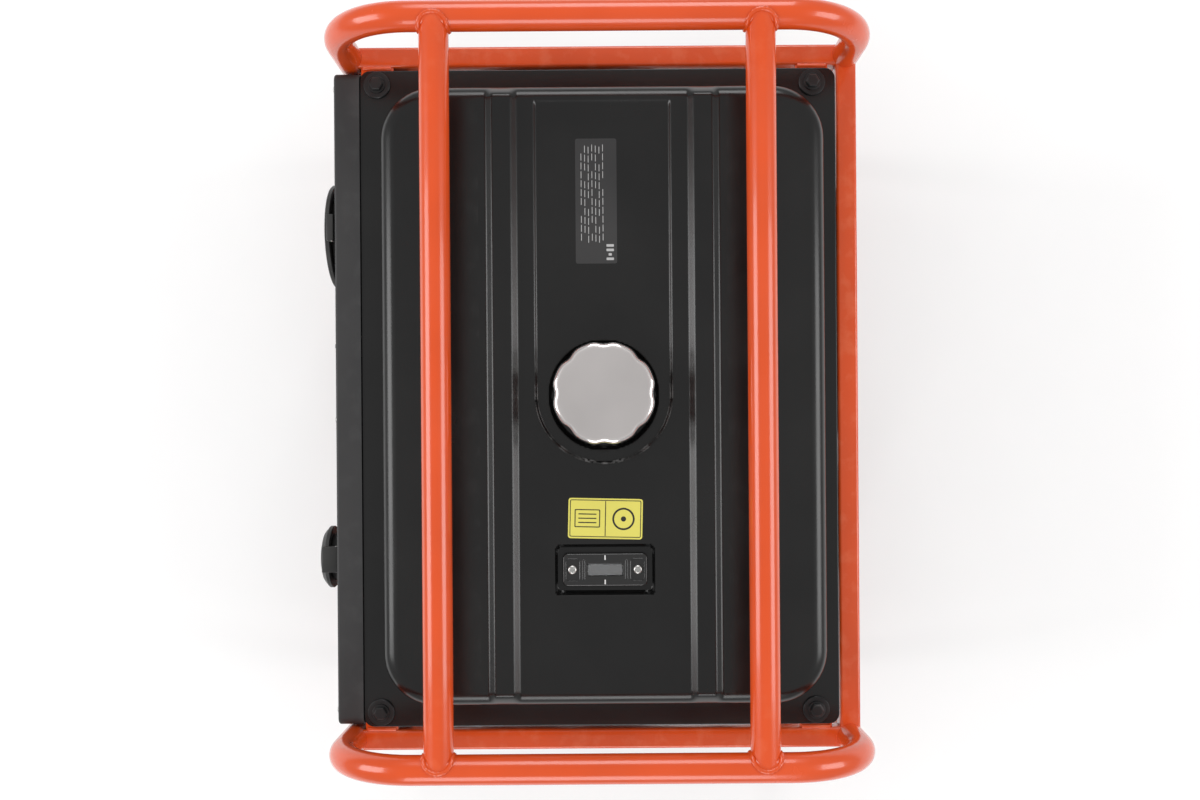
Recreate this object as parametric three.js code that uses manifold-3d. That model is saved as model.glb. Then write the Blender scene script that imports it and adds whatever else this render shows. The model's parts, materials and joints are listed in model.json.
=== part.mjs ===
// Portable open-frame generator, in millimetres.
// +X runs along the crankshaft towards the recoil starter, +Y to the back, +Z up.
// The control panel faces -Y. The floor is z = 0, and the origin is the middle of the footprint.
import * as THREE from "three";
import { mergeVertices } from "three/addons/utils/BufferGeometryUtils.js";
import Module from "manifold-3d";

const wasm = await Module();
wasm.setup();

// ------------------------------------------------------------------ driving dimensions
const gap = 0.3; // air between two pieces that touch on the real machine
const sheet = 2; // pressed steel sheet

// Frame
const tubeDia = 27; // round tube of the hoops, carrying bars and base rails
const squareTube = 20; // square tube under the tank
const hoopSpan = 673; // along X, between the planes of the two hoops
const hoopWidth = 490; // along Y, between a hoop's two legs
const frameHeight = 560; // floor to the top of the hoops
const bendRadius = 75; // of a hoop's centreline
const barOffset = 146; // of a carrying bar from the middle, along Y
const footHeight = 22;
const footDia = 40;
const footInset = 62; // of a foot from the hoop's plane
const beamWidth = 60; // the channel under the engine, and the one under the alternator
const beamHeight = 25;
const beamWall = 3;
const tabLength = 32; // of the tank's supporting tabs, along Y
const tabReach = 30;
const tabThick = 3;

// Fuel tank
const tankShift = 4; // of the tank's middle towards the back
const flangeInset = 22; // of the flange's width from the hoops' width
const flangeLength = hoopSpan - tubeDia; // along X, up to the hoops
const flangeWidth = hoopWidth - flangeInset; // along Y
const flangeCorner = 10;
const flangeEnd = 29; // the flange's breadth at each end of the pressed body
const flangeSide = 23; // and at its front and back
const tankLength = flangeLength - 2 * flangeEnd; // of the pressed body
const tankWidth = flangeWidth - 2 * flangeSide;
const tankCorner = 50;
const tankRise = 52; // of the body above the flange
const tankEdge = 15; // rounding of its top edge
const tankDrop = 70; // of the body below the flange
const sumpInset = 6;
const sumpLength = tankLength - 2 * sumpInset;
const sumpWidth = tankWidth - 2 * sumpInset;
const sumpCorner = 70;
const sumpRim = 6;
const flangeUnderTop = 124; // flange face to the top of the hoops
const ribWidth = 30;
const ribHeight = 5;
const ribOffset = 95; // of a rib from the tank's middle
const boltSpanX = flangeLength - flangeEnd;
const boltInset = 20; // of a bolt from the flange's front or back edge
const boltSpanY = flangeWidth - 2 * boltInset;
const boltMiddleY = -3; // the bolts' middle from the frame's middle
const boltDia = 8;
const washerDia = 26;
const washerThick = 2;
const boltHeadDia = 14;
const boltHeadHeight = 6;
const boltReach = 14; // of a bolt below the flange's face

// Filler, cap and gauge
const neckBore = 56;
const neckWall = 3;
const neckRise = 14; // above the tank's top
const neckDepth = 18; // below it
const capDia = 96;
const capHeight = 34;
const capLobes = 8;
const capScallop = 3; // depth of a scallop
const capWall = 4;
const plugDia = 50; // the cap's bayonet plug
const sealThick = 3;
const gaugeX = 165; // of the gauge from the tank's middle
const pocketLength = 95; // along Y
const pocketWidth = 48; // along X
const pocketDepth = 10;
const gaugeLength = 80;
const gaugeWidth = 31;
const gaugeHeight = 7;
const windowLength = 33;
const windowWidth = 11;
const drumDia = 14;
const floatArm = 84;
const floatRest = THREE.MathUtils.degToRad(25); // the arm hangs this far below level
const floatDia = 24;
const floatLength = 40;

// Fuel tap and hose
const tapX = 250;
const tapY = -105;
const tapDia = 22;
const tapLength = 32;
const tapOutletDrop = 24; // of its outlet below the tank's floor
const tapLeverDrop = 14;
const hoseDia = 8;

// Control panel
const panelAhead = 14.5; // of the panel's face in front of the hoops' legs
const panelFront = hoopWidth / 2 + panelAhead; // of its face from the middle, towards -Y
const panelEnd = 2; // the panel's ends from the flange's
const panelLength = flangeLength - 2 * panelEnd;
const panelHeight = 148;
const panelDepth = 50;
const panelCorner = 8;
const bigSocketX = -171;
const bigSocketDrop = 70; // of its middle below the panel's top edge
const bigHoleDia = 74; // of the panel's hole
const bigCollarDia = 96;
const bigWellDia = 62; // of the round space for the plug
const bigSocketDepth = 42; // behind the panel's face
const bigLidDia = 106;
const bigLidDome = 4;
const smallSocketX = 161;
const smallSocketDrop = 72;
const smallHoleDia = 46;
const smallCollarDia = 56;
const smallWellDia = 40;
const smallSocketDepth = 36;
const smallLidDia = 64;
const smallLidDome = 9;
const bigLidStand = 12; // of a lid's rim in front of the panel
const smallLidStand = 20;
const bigPivotAhead = 6; // of a lid's pin in front of the panel
const smallPivotAhead = 9;
const bigHingeAhead = 11; // of a hinge block's front
const smallHingeAhead = 23;
const lidPivotRise = 1; // of the pin above the lid's edge
const lidPinDia = 3;
const lidEarDia = 5; // of the socket's ear round the pin
const lidEarLength = 16;
const hingeLength = 26; // of the block on top of a lid
const hingeCheek = 3; // thickness of its two cheeks
const hingeRoof = 1.6; // thickness of its top
const breakerX = 62;
const breakerWidth = 36;
const breakerTall = 48;
const breakerDrop = 72;
const toggleTilt = THREE.MathUtils.degToRad(15); // the toggle rests pointing down, switched off
const keyX = -62;
const keyDrop = 120;
const keyBarrelDia = 22;

// Engine
const crankY = -35; // of the crankshaft's axis
const crankZ = 190;
const caseStart = 62; // of the crankcase, along X
const caseEnd = 205;
const caseWall = 8;
const caseFront = 88; // of its walls from the crankshaft's axis
const caseBack = 92;
const caseBelow = 107;
const caseAbove = 78;
const caseCorner = 18;
const slant = THREE.MathUtils.degToRad(25); // of the cylinder above level
const boreDia = 88;
const barrelDia = 112;
const finSize = 132; // square outline of the cooling fins
const finThick = 3;
const finPitch = 9;
const finCount = 5;
const deck = 161; // crankshaft's axis to the top of the cylinder
const crankThrow = 33;
const headLength = 136;
const headTall = 92;
const headDepth = 46;
const coverLength = 112;
const coverTall = 72;
const coverDepth = 26;
const journalDia = 35;
const pistonLength = 58;
const shroudDia = 250;
const shroudEnd = 276; // the fan shroud's outer face, along X
const shroudWall = 3;
const flywheelDia = 190;
const starterDia = 190;
const starterDepth = 30;
const pulleyDia = 90;
const pulleyThick = 12;
const handleX = 290; // plane of the starter rope
const handleRise = pulleyDia / 2; // the rope leaves the top of the pulley
const gripLength = 96;
const ropeDia = 5;

// Alternator
const statorDia = 208;
const statorStart = -246;
const statorEnd = 20;
const statorWall = 14;
const rotorDia = 150;
const endCoverLength = 56;

// Muffler, air box and carburettor
const mufflerStart = -228;
const mufflerEnd = 34;
const mufflerY = 152;
const mufflerZ = 292;
const mufflerWide = 100;
const mufflerTall = 104;
const mufflerWall = 3;
const mufflerCorner = 30;
const guardGap = 8;
const carbLength = 44;
const airBoxLength = 132;
const airBoxWide = 128;
const airBoxTall = 82;
const airBoxX = 132;
const airBoxY = -88;
const airBoxZ = 318;
const ductDia = 34;

// Worked out from these
const hoopX = hoopSpan / 2;
const legY = hoopWidth / 2;
const tubeR = tubeDia / 2;
const hoopAxisZ = frameHeight - tubeR;
const railZ = footHeight + tubeR;
const flangeZ = frameHeight - flangeUnderTop; // upper face of the tank's flange
const crossbarTop = flangeZ;
const beamTop = railZ - tubeR + beamHeight + 5;
const engineBeamX = (caseStart + caseEnd) / 2;
const alternatorBeamX = -150;
const mountFront = crankY - 65;
const mountBack = crankY + 65;
const mountTop = crankZ - caseBelow - gap;
const panelTop = flangeZ + sheet;
const cylinderX = engineBeamX;

// ------------------------------------------------------------------ finishes
const finish = (color, roughness, metalness) => ({ color, roughness, metalness });
const orangePaint = finish(0xd8431a, 0.35, 0.1);
const blackPaint = finish(0x1c1c1e, 0.45, 0.1);
const panelPaint = finish(0x303133, 0.6, 0.1);
const blackPlastic = finish(0x141414, 0.5, 0);
const rubber = finish(0x0f0f0f, 0.9, 0);
const chrome = finish(0xd8d6d4, 0.12, 1);
const castAlloy = finish(0xa8aaac, 0.5, 0.8);
const darkSteel = finish(0x3a3a3c, 0.45, 0.8);
const brightSteel = finish(0xc4c6c8, 0.3, 1);
const clearPlastic = finish(0xb8bcc0, 0.1, 0);
const windings = finish(0x8a4a2c, 0.45, 0.5);

// ------------------------------------------------------------------ shape helpers
// A closed three.js geometry as a solid, to be joined or cut.
function solid(geometry) {
  const bare = geometry.clone();
  bare.deleteAttribute("normal");
  bare.deleteAttribute("uv");
  const merged = mergeVertices(bare, 1e-4);
  const vertProperties = new Float32Array(merged.attributes.position.array);
  const triVerts = new Uint32Array(merged.index.array);
  return new wasm.Manifold(new wasm.Mesh({ numProp: 3, vertProperties, triVerts }));
}

// A solid back as a three.js geometry.
function surface(body) {
  const mesh = body.getMesh();
  const geometry = new THREE.BufferGeometry();
  geometry.setAttribute("position", new THREE.BufferAttribute(mesh.vertProperties, 3));
  geometry.setIndex(new THREE.BufferAttribute(mesh.triVerts, 1));
  geometry.computeVertexNormals();
  return geometry;
}

const join = (...bodies) => bodies.reduce((all, body) => all.add(body));
const cut = (body, ...tools) => tools.reduce((left, tool) => left.subtract(tool), body);

// A block between two corners.
function block([x0, y0, z0], [x1, y1, z1]) {
  const geometry = new THREE.BoxGeometry(x1 - x0, y1 - y0, z1 - z0);
  geometry.translate((x0 + x1) / 2, (y0 + y1) / 2, (z0 + z1) / 2);
  return solid(geometry);
}

// Turns a geometry made along +Z so that it runs along +X or +Y.
function along(geometry, axis) {
  if (axis === "x") geometry.rotateY(Math.PI / 2);
  if (axis === "y") geometry.rotateX(-Math.PI / 2);
  return geometry;
}

// A rod of the given diameter between two stations of an axis through the point (a, b) of the other two.
function rodShape(diameter, from, to, axis, sides = 16) {
  const geometry = new THREE.CylinderGeometry(diameter / 2, diameter / 2, to - from, sides);
  geometry.rotateX(Math.PI / 2);
  geometry.translate(0, 0, (from + to) / 2);
  return along(geometry, axis);
}

function rod(diameter, from, to, axis, at = [0, 0, 0], sides = 16) {
  return solid(rodShape(diameter, from, to, axis, sides).translate(...at));
}

// A turned solid: the profile is a list of [radius, station] that starts and ends on the axis.
function turned(profile, axis, at = [0, 0, 0], sides = 20) {
  const points = profile.map(([radius, station]) => new THREE.Vector2(radius, station));
  const geometry = new THREE.LatheGeometry(points, sides);
  geometry.rotateX(Math.PI / 2);
  return solid(along(geometry, axis).translate(...at));
}

// A rectangle with round corners, centred on a point of the XY plane.
function roundedRectangle(width, height, corner, cx = 0, cy = 0) {
  const [w, h] = [width / 2 - corner, height / 2 - corner];
  const shape = new THREE.Shape();
  shape.absarc(cx + w, cy - h, corner, -Math.PI / 2, 0);
  shape.absarc(cx + w, cy + h, corner, 0, Math.PI / 2);
  shape.absarc(cx - w, cy + h, corner, Math.PI / 2, Math.PI);
  shape.absarc(cx - w, cy - h, corner, Math.PI, Math.PI * 1.5);
  return shape;
}

// A shape pulled up from one height to another.
function prismShape(shape, from, to, curveSegments = 5) {
  const options = { depth: to - from, bevelEnabled: false, curveSegments };
  return new THREE.ExtrudeGeometry(shape, options).translate(0, 0, from);
}

const prism = (shape, from, to, segments) => solid(prismShape(shape, from, to, segments));

// A tray pressed in sheet: a rounded body whose far edge is rounded too, open towards the near side.
function pressing(length, width, corner, height, edge, inset) {
  const shape = roundedRectangle(
    length - 2 * (edge + inset),
    width - 2 * (edge + inset),
    Math.max(corner - edge - inset, 1),
  );
  const options = {
    depth: height - inset,
    bevelThickness: edge,
    bevelSize: edge,
    bevelSegments: 2,
    curveSegments: 4,
  };
  const raised = new THREE.ExtrudeGeometry(shape, options).translate(0, 0, -edge);
  const below = block([-length, -width, -2 * edge - 1], [length, width, inset > 0 ? -1 : 0]);
  return solid(raised).subtract(below);
}

// A route of straight runs and round bends through its corners, one step for a run and several for a bend.
class PipeRoute extends THREE.Curve {
  constructor(corners, radius, bendSteps) {
    super();
    const points = corners.map((corner) => new THREE.Vector3(...corner));
    this.stations = [points[0]];
    for (let i = 1; i < points.length - 1; i++) {
      const before = points[i - 1].clone().sub(points[i]).normalize();
      const after = points[i + 1].clone().sub(points[i]).normalize();
      const half = before.angleTo(after) / 2;
      const centre = before.clone().add(after).normalize();
      centre.multiplyScalar(radius / Math.sin(half)).add(points[i]);
      const start = points[i].clone().addScaledVector(before, radius / Math.tan(half)).sub(centre);
      const turn = new THREE.Vector3().crossVectors(before, after).normalize().negate();
      for (let step = 0; step <= bendSteps; step++) {
        const angle = ((Math.PI - 2 * half) * step) / bendSteps;
        this.stations.push(start.clone().applyAxisAngle(turn, angle).add(centre));
      }
    }
    this.stations.push(points.at(-1));
  }

  get steps() {
    return this.stations.length - 1;
  }

  getUtoTmapping(u) {
    return u;
  }

  getPoint(t, target = new THREE.Vector3()) {
    const place = Math.min(Math.max(t, 0), 1) * this.steps;
    const index = Math.min(Math.floor(place), this.steps - 1);
    return target.lerpVectors(this.stations[index], this.stations[index + 1], place - index);
  }
}

// A round bar or hose along a route.
function pipe(corners, diameter, radius, bendSteps = 6, sides = 16) {
  const route = new PipeRoute(corners, radius, bendSteps);
  const outline = [];
  for (let side = 0; side < sides; side++) {
    const angle = (2 * Math.PI * side) / sides;
    outline.push(new THREE.Vector2(Math.cos(angle), Math.sin(angle)).multiplyScalar(diameter / 2));
  }
  const options = { steps: route.steps, extrudePath: route, bevelEnabled: false };
  return new THREE.ExtrudeGeometry(new THREE.Shape(outline), options);
}

// Adds a named piece to a group and returns it.
function piece(group, name, shape, look, at = [0, 0, 0]) {
  const geometry = shape.isBufferGeometry ? shape : surface(shape);
  const mesh = new THREE.Mesh(geometry, new THREE.MeshStandardMaterial(look));
  mesh.name = name;
  mesh.position.set(...at);
  group.add(mesh);
  return mesh;
}

// ------------------------------------------------------------------ frame
const legCutters = (x) =>
  [-legY, legY].map((y) => rod(tubeDia + 2 * gap, 0, hoopAxisZ - bendRadius, "z", [x, y, 0], 16));

function hoop(x) {
  const corners = [
    [x, -legY, footHeight],
    [x, -legY, hoopAxisZ],
    [x, legY, hoopAxisZ],
    [x, legY, footHeight],
  ];
  return pipe(corners, tubeDia, bendRadius, 6, 16);
}

// A carrying bar over the tank, its ends shaped to the hoops.
function carryingBar(y) {
  const bar = rod(tubeDia, -hoopX, hoopX, "x", [0, y, hoopAxisZ], 16);
  const hoops = [-hoopX, hoopX].map((x) =>
    rod(tubeDia + 2 * gap, y - tubeDia, y + tubeDia, "y", [x, 0, hoopAxisZ], 16),
  );
  return cut(bar, ...hoops);
}

// A square crossbar between a hoop's legs, with the two tabs that carry the tank.
function crossbar(side) {
  const x = side * hoopX;
  const half = squareTube / 2;
  const reach = legY - half - gap;
  const bar = block([x - half, -reach, crossbarTop - squareTube], [x + half, reach, crossbarTop]);
  const tabs = [-1, 1].map((end) => {
    const y = boltMiddleY + (end * boltSpanY) / 2;
    const inner = side * (hoopX - half - tabReach);
    const outer = side * (hoopX - half + 1);
    const tabTop = flangeZ - sheet - gap;
    const plate = block(
      [Math.min(inner, outer), y - tabLength / 2, tabTop - tabThick],
      [Math.max(inner, outer), y + tabLength / 2, tabTop],
    );
    const hole = [(side * boltSpanX) / 2, y, 0];
    return plate.subtract(rod(boltDia + 2 * gap, tabTop - 2 * tabThick, flangeZ, "z", hole, 16));
  });
  return cut(join(bar, ...tabs), ...legCutters(x));
}

function sideRail() {
  const half = squareTube / 2;
  const low = [-hoopX, legY - half, crossbarTop - squareTube];
  const rail = block(low, [hoopX, legY + half, crossbarTop]);
  return cut(rail, ...legCutters(-hoopX), ...legCutters(hoopX));
}

function baseRail(side) {
  const rail = rod(tubeDia, -hoopX, hoopX, "x", [0, side * legY, railZ], 16);
  return cut(rail, ...legCutters(-hoopX), ...legCutters(hoopX));
}

// An upturned channel across the base rails.
function baseBeam(x) {
  const half = beamWidth / 2;
  const bottom = beamTop - beamHeight;
  const outer = block([x - half, -legY, bottom], [x + half, legY, beamTop]);
  const inner = block(
    [x - half + beamWall, -legY - 1, bottom - 1],
    [x + half - beamWall, legY + 1, beamTop - beamWall],
  );
  const rails = [-legY, legY].map((y) =>
    rod(tubeDia + 2 * gap, x - beamWidth, x + beamWidth, "x", [0, y, railZ], 24),
  );
  return cut(outer, inner, ...rails);
}

// A rubber foot with a saddle for its rail.
function foot(x, y) {
  const profile = [
    [0, 0],
    [footDia / 2 - 2, 0],
    [footDia / 2, 2],
    [footDia / 2 - 3, railZ],
    [0, railZ],
  ];
  const rail = rod(tubeDia + 2 * gap, x - footDia, x + footDia, "x", [0, y, railZ], 24);
  return turned(profile, "z", [x, y, 0], 14).subtract(rail);
}

// A bonded rubber mount between a base beam and the engine or alternator.
function rubberMount(x, y) {
  const low = beamTop + gap;
  const high = mountTop - gap;
  const middle = (low + high) / 2;
  const profile = [
    [0, low],
    [19, low],
    [19, low + 3],
    [15, middle],
    [19, high - 3],
    [19, high],
    [0, high],
  ];
  return turned(profile, "z", [x, y, 0], 12);
}

function buildFrame(root) {
  const frame = new THREE.Group();
  for (const [side, sideName] of [[-1, "left"], [1, "right"]]) {
    piece(frame, `hoop_${sideName}`, hoop(side * hoopX), orangePaint);
    piece(frame, `tank_crossbar_${sideName}`, crossbar(side), orangePaint);
    for (const [end, endName] of [[-1, "front"], [1, "rear"]]) {
      const at = [side * (hoopX - footInset), end * legY];
      piece(frame, `foot_${sideName}_${endName}`, foot(...at), rubber);
    }
  }
  for (const [end, endName] of [[-1, "front"], [1, "rear"]]) {
    piece(frame, `carrying_bar_${endName}`, carryingBar(end * barOffset), orangePaint);
    piece(frame, `base_rail_${endName}`, baseRail(end), orangePaint);
  }
  piece(frame, "tank_rail_rear", sideRail(), orangePaint);
  for (const [x, name] of [[alternatorBeamX, "alternator"], [engineBeamX, "engine"]]) {
    piece(frame, `base_beam_${name}`, baseBeam(x), orangePaint);
    piece(frame, `${name}_mount_front`, rubberMount(x, mountFront), rubber);
    piece(frame, `${name}_mount_rear`, rubberMount(x, mountBack), rubber);
  }
  root.add(frame);
}

// ------------------------------------------------------------------ fuel tank
// The tank group's origin is the middle of the flange's upper face.
const boltPlaces = () =>
  [-1, 1].flatMap((sx) =>
    [-1, 1].map((sy) => [(sx * boltSpanX) / 2, boltMiddleY - tankShift + (sy * boltSpanY) / 2]),
  );

const gaugeAt = [gaugeX, 0, tankRise - pocketDepth];

function pocket(grow, depth, from) {
  const shape = roundedRectangle(pocketWidth + grow, pocketLength + grow, 6 + grow / 2, gaugeX, 0);
  return prism(shape, from, from + depth, 3);
}

function upperShell() {
  const outline = roundedRectangle(flangeLength, flangeWidth, flangeCorner, 0, -tankShift);
  const flange = prism(outline, -sheet, 0, 3);
  const body = pressing(tankLength, tankWidth, tankCorner, tankRise, tankEdge, 0);
  const ribs = [-ribOffset, ribOffset].map((y) => {
    const half = ribWidth / 2;
    const length = tankLength - 2 * tankEdge;
    const section = new THREE.Shape();
    section.moveTo(-half, -1);
    section.lineTo(half, -1);
    section.lineTo(half - ribHeight, ribHeight);
    section.lineTo(-half + ribHeight, ribHeight);
    const bar = prismShape(section, -length / 2, length / 2).rotateX(Math.PI / 2).rotateZ(Math.PI / 2);
    return solid(bar.translate(0, y, tankRise));
  });
  const hollow = pressing(tankLength, tankWidth, tankCorner, tankRise, tankEdge, sheet);
  const throughFlange = prism(
    roundedRectangle(sumpLength - 2 * sheet, sumpWidth - 2 * sheet, sumpCorner - sheet),
    -sheet - 1,
    1,
    5,
  );
  const tray = pocket(2 * sheet, pocketDepth + sheet, tankRise - pocketDepth - sheet);
  const well = pocket(0, pocketDepth + 1, tankRise - pocketDepth);
  const armSlot = block([gaugeX - 9, -16, 0], [gaugeX + 9, 16, tankRise]);
  const neckOuter = rod(neckBore + 2 * neckWall, tankRise - neckDepth, tankRise + neckRise, "z");
  const neckHole = rod(neckBore, tankRise - neckDepth - 1, tankRise + neckRise + 1, "z");
  const holes = boltPlaces().map(([x, y]) =>
    rod(boltDia + 2 * gap, -sheet - 1, 1, "z", [x, y, 0], 12),
  );
  const shell = cut(join(flange, body, ...ribs), hollow, throughFlange);
  return cut(join(shell, tray, neckOuter), well, armSlot, neckHole, ...holes);
}

function lowerShell() {
  const top = -sheet - gap;
  const body = pressing(sumpLength, sumpWidth, sumpCorner, tankDrop + top, tankEdge, 0);
  const rim = prism(
    roundedRectangle(sumpLength + 2 * sumpRim, sumpWidth + 2 * sumpRim, sumpCorner + sumpRim),
    0,
    sheet,
    5,
  );
  const hollow = pressing(sumpLength, sumpWidth, sumpCorner, tankDrop + top, tankEdge, sheet);
  const tapHole = rod(12, 0, tankDrop + 1, "z", [tapX, tankShift - tapY, 0], 16);
  const shell = surface(cut(join(body, rim), hollow, tapHole));
  return shell.rotateX(Math.PI).translate(0, 0, top);
}

// The cap's skirt: round lobes with shallow scallops between them.
function scallopedOutline(diameter) {
  const points = [];
  const steps = capLobes * 6;
  for (let step = 0; step < steps; step++) {
    const angle = (2 * Math.PI * step) / steps;
    const notch = Math.pow((1 + Math.cos(capLobes * angle)) / 2, 3);
    const radius = diameter / 2 - capScallop * notch;
    points.push(new THREE.Vector2(Math.cos(angle), Math.sin(angle)).multiplyScalar(radius));
  }
  return new THREE.Shape(points);
}

function fuelCap() {
  const bottom = tankRise + 3;
  const top = bottom + capHeight;
  const roof = tankRise + neckRise + sealThick + 2 * gap;
  const outer = prism(scallopedOutline(capDia), bottom, top);
  const inside = rod(capDia - 2 * (capScallop + capWall), bottom - 1, roof, "z");
  const plug = rod(plugDia, roof - sealThick - 10, roof + 1, "z", [0, 0, 0], 24);
  return join(cut(outer, inside), plug);
}

function capSeal() {
  const low = tankRise + neckRise + gap;
  const ring = rod(neckBore + 2 * neckWall + 2, low, low + sealThick, "z", [0, 0, 0], 24);
  return ring.subtract(rod(plugDia + 4 * gap, low - 1, low + sealThick + 1, "z", [0, 0, 0], 24));
}

function gaugeHousing() {
  const shape = roundedRectangle(gaugeWidth, gaugeLength, 5);
  const body = prism(shape, gap, gaugeHeight, 3);
  const sight = block([-windowWidth / 2, -windowLength / 2, -1], [windowWidth / 2, windowLength / 2, 20]);
  const cavity = block([-9, -windowLength / 2, -1], [9, windowLength / 2, gaugeHeight - 3]);
  return cut(body, sight, cavity);
}

function gaugeLens() {
  const [w, l] = [windowWidth / 2 - gap, windowLength / 2 - gap];
  return block([-w, -l, gaugeHeight - 2], [w, l, gaugeHeight - 0.5]);
}

// The indicator drum, its arm and the cork float, which turn as one piece about an axis along X.
function gaugeFloat() {
  const drum = rod(drumDia, -6, 6, "x", [0, 0, 0], 20);
  const arm = rod(5, 0, floatArm, "y", [0, 0, 0], 12);
  const cork = rod(floatDia, -floatLength / 2, floatLength / 2, "x", [0, floatArm, 0], 16);
  return join(drum, arm, cork);
}

function tankBolt() {
  const head = rod(boltHeadDia, washerThick, washerThick + boltHeadHeight, "z", [0, 0, 0], 12);
  const socket = rod(7, washerThick + 3, washerThick + boltHeadHeight + 1, "z", [0, 0, 0], 6);
  const washer = rod(washerDia, gap, washerThick + 0.5, "z", [0, 0, 0], 16);
  const shank = rod(boltDia, -boltReach, washerThick, "z", [0, 0, 0], 8);
  return cut(join(head, washer, shank), socket);
}

function buildTank(root) {
  const tank = new THREE.Group();
  tank.position.set(0, tankShift, flangeZ);
  piece(tank, "tank_upper_shell", upperShell(), blackPaint);
  piece(tank, "tank_lower_shell", lowerShell(), blackPaint);
  piece(tank, "fuel_cap", fuelCap(), chrome);
  piece(tank, "fuel_cap_seal", capSeal(), rubber);
  piece(tank, "gauge_housing", gaugeHousing(), blackPlastic, gaugeAt);
  piece(tank, "gauge_lens", gaugeLens(), clearPlastic, gaugeAt);
  const pivot = [gaugeX, 0, gaugeAt[2] - drumDia / 2 - 1];
  piece(tank, "gauge_float", gaugeFloat(), blackPlastic, pivot).rotation.x = -floatRest;
  boltPlaces().forEach(([x, y]) => {
    const name = `tank_bolt_${x < 0 ? "left" : "right"}_${y < 0 ? "front" : "rear"}`;
    piece(tank, name, tankBolt(), darkSteel, [x, y, 0]);
  });
  root.add(tank);
}

// ------------------------------------------------------------------ fuel tap and hose
// The tap hangs from the tank's floor. Its lever turns about an axis along X on the outer side.
const tankFloor = flangeZ - tankDrop;
const hoseStart = [tapX, tapY + tapDia / 2 + 14, tankFloor - tapOutletDrop];
const carbY = crankY + (deck + headDepth / 2) * Math.cos(slant);
const carbZ = crankZ + (deck + headDepth / 2) * Math.sin(slant);
const carbX = cylinderX + headLength / 2 + gap + carbLength / 2;

function tapBody() {
  const body = rod(tapDia, -tapLength, -gap, "z", [0, 0, 0], 20);
  const stub = rod(10, -1, 8, "z", [0, 0, 0], 16);
  const outlet = rod(hoseDia - 2, 0, tapDia / 2 + 13, "y", [0, 0, -tapOutletDrop], 12);
  const boss = rod(16, 0, tapDia / 2 + 4, "x", [0, 0, -tapLeverDrop], 16);
  return join(body, stub, outlet, boss);
}

function tapLever() {
  const start = tapDia / 2 + 4 + gap;
  const hub = rod(14, start, start + 6, "x", [0, 0, -tapLeverDrop], 16);
  const arm = block([start + 1, -4, -46], [start + 5, 4, -tapLeverDrop]);
  return join(hub, arm);
}

function fuelHose() {
  const [x, y, z] = hoseStart;
  const high = tankFloor - 10;
  const corners = [
    [x, y, z],
    [x, y + 30, z],
    [x, y + 50, high],
    [x, 50, high],
    [carbX, carbY - 6, high],
    [carbX, carbY - 6, carbZ + 28],
  ];
  return pipe(corners, hoseDia, 12, 3, 8);
}

function buildFuelLine(root) {
  const line = new THREE.Group();
  piece(line, "fuel_tap_body", tapBody(), castAlloy, [tapX, tapY, tankFloor]);
  piece(line, "fuel_tap_lever", tapLever(), brightSteel, [tapX, tapY, tankFloor]);
  piece(line, "fuel_hose", fuelHose(), rubber);
  root.add(line);
}

// ------------------------------------------------------------------ control panel
// The panel group's origin is the middle of its top front edge; the face looks towards -Y.
function panelShell() {
  const half = panelLength / 2;
  const outline = roundedRectangle(panelLength, panelHeight, panelCorner, 0, -panelHeight / 2);
  const box = prismShape(outline, 0, panelDepth, 3).rotateX(Math.PI / 2).translate(0, panelDepth, 0);
  const inside = block(
    [-half + sheet, sheet, -panelHeight + sheet],
    [half - sheet, panelDepth + 1, -sheet],
  );
  // The tank's flange passes over the back of the panel's top.
  const flangeEdge = panelFront - flangeWidth / 2;
  const step = block([-half - 1, flangeEdge - gap, -12], [half + 1, panelDepth + 1, 1]);
  const bigHole = rod(bigHoleDia, -1, 5, "y", [bigSocketX, 0, -bigSocketDrop]);
  const smallHole = rod(smallHoleDia, -1, 5, "y", [smallSocketX, 0, -smallSocketDrop]);
  const keyHole = rod(keyBarrelDia + 2 * gap, -1, 5, "y", [keyX, 0, -keyDrop], 20);
  const breakerHole = block(
    [breakerX - breakerWidth / 2 - gap, -1, -breakerDrop - breakerTall / 2 - gap],
    [breakerX + breakerWidth / 2 + gap, 5, -breakerDrop + breakerTall / 2 + gap],
  );
  return cut(solid(box), inside, step, bigHole, smallHole, keyHole, breakerHole);
}

// A panel socket: a collar in front of the panel, a body behind it, and the round well for the
// plug. An ear on top of the collar holds the lid's pin.
function socketBody(hole, collar, lidDia, stand, ahead, well, depth) {
  const front = rod(collar, -stand + 3 + gap, -gap, "y");
  const back = rod(hole - 2 * gap, -1, depth, "y");
  const recess = rod(well, -stand, depth - 18, "y");
  const pivot = [0, -ahead, lidDia / 2 + lidPivotRise];
  const half = lidEarLength / 2;
  const ear = rod(lidEarDia, -half, half, "x", pivot, 12);
  const post = block(
    [-half, -ahead - lidEarDia / 2, collar / 2 - 6],
    [half, -ahead + lidEarDia / 2, pivot[2]],
  );
  const eye = rod(lidPinDia + 3 * gap, -half - 1, half + 1, "x", pivot, 12);
  const pins = [-1, 1].map((side) =>
    rod(5, depth - 19, depth - 18 + 0.5, "y", [side * 9.5, 0, 0], 12),
  );
  return cut(join(front, back, ear, post), recess, eye, ...pins);
}

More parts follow.
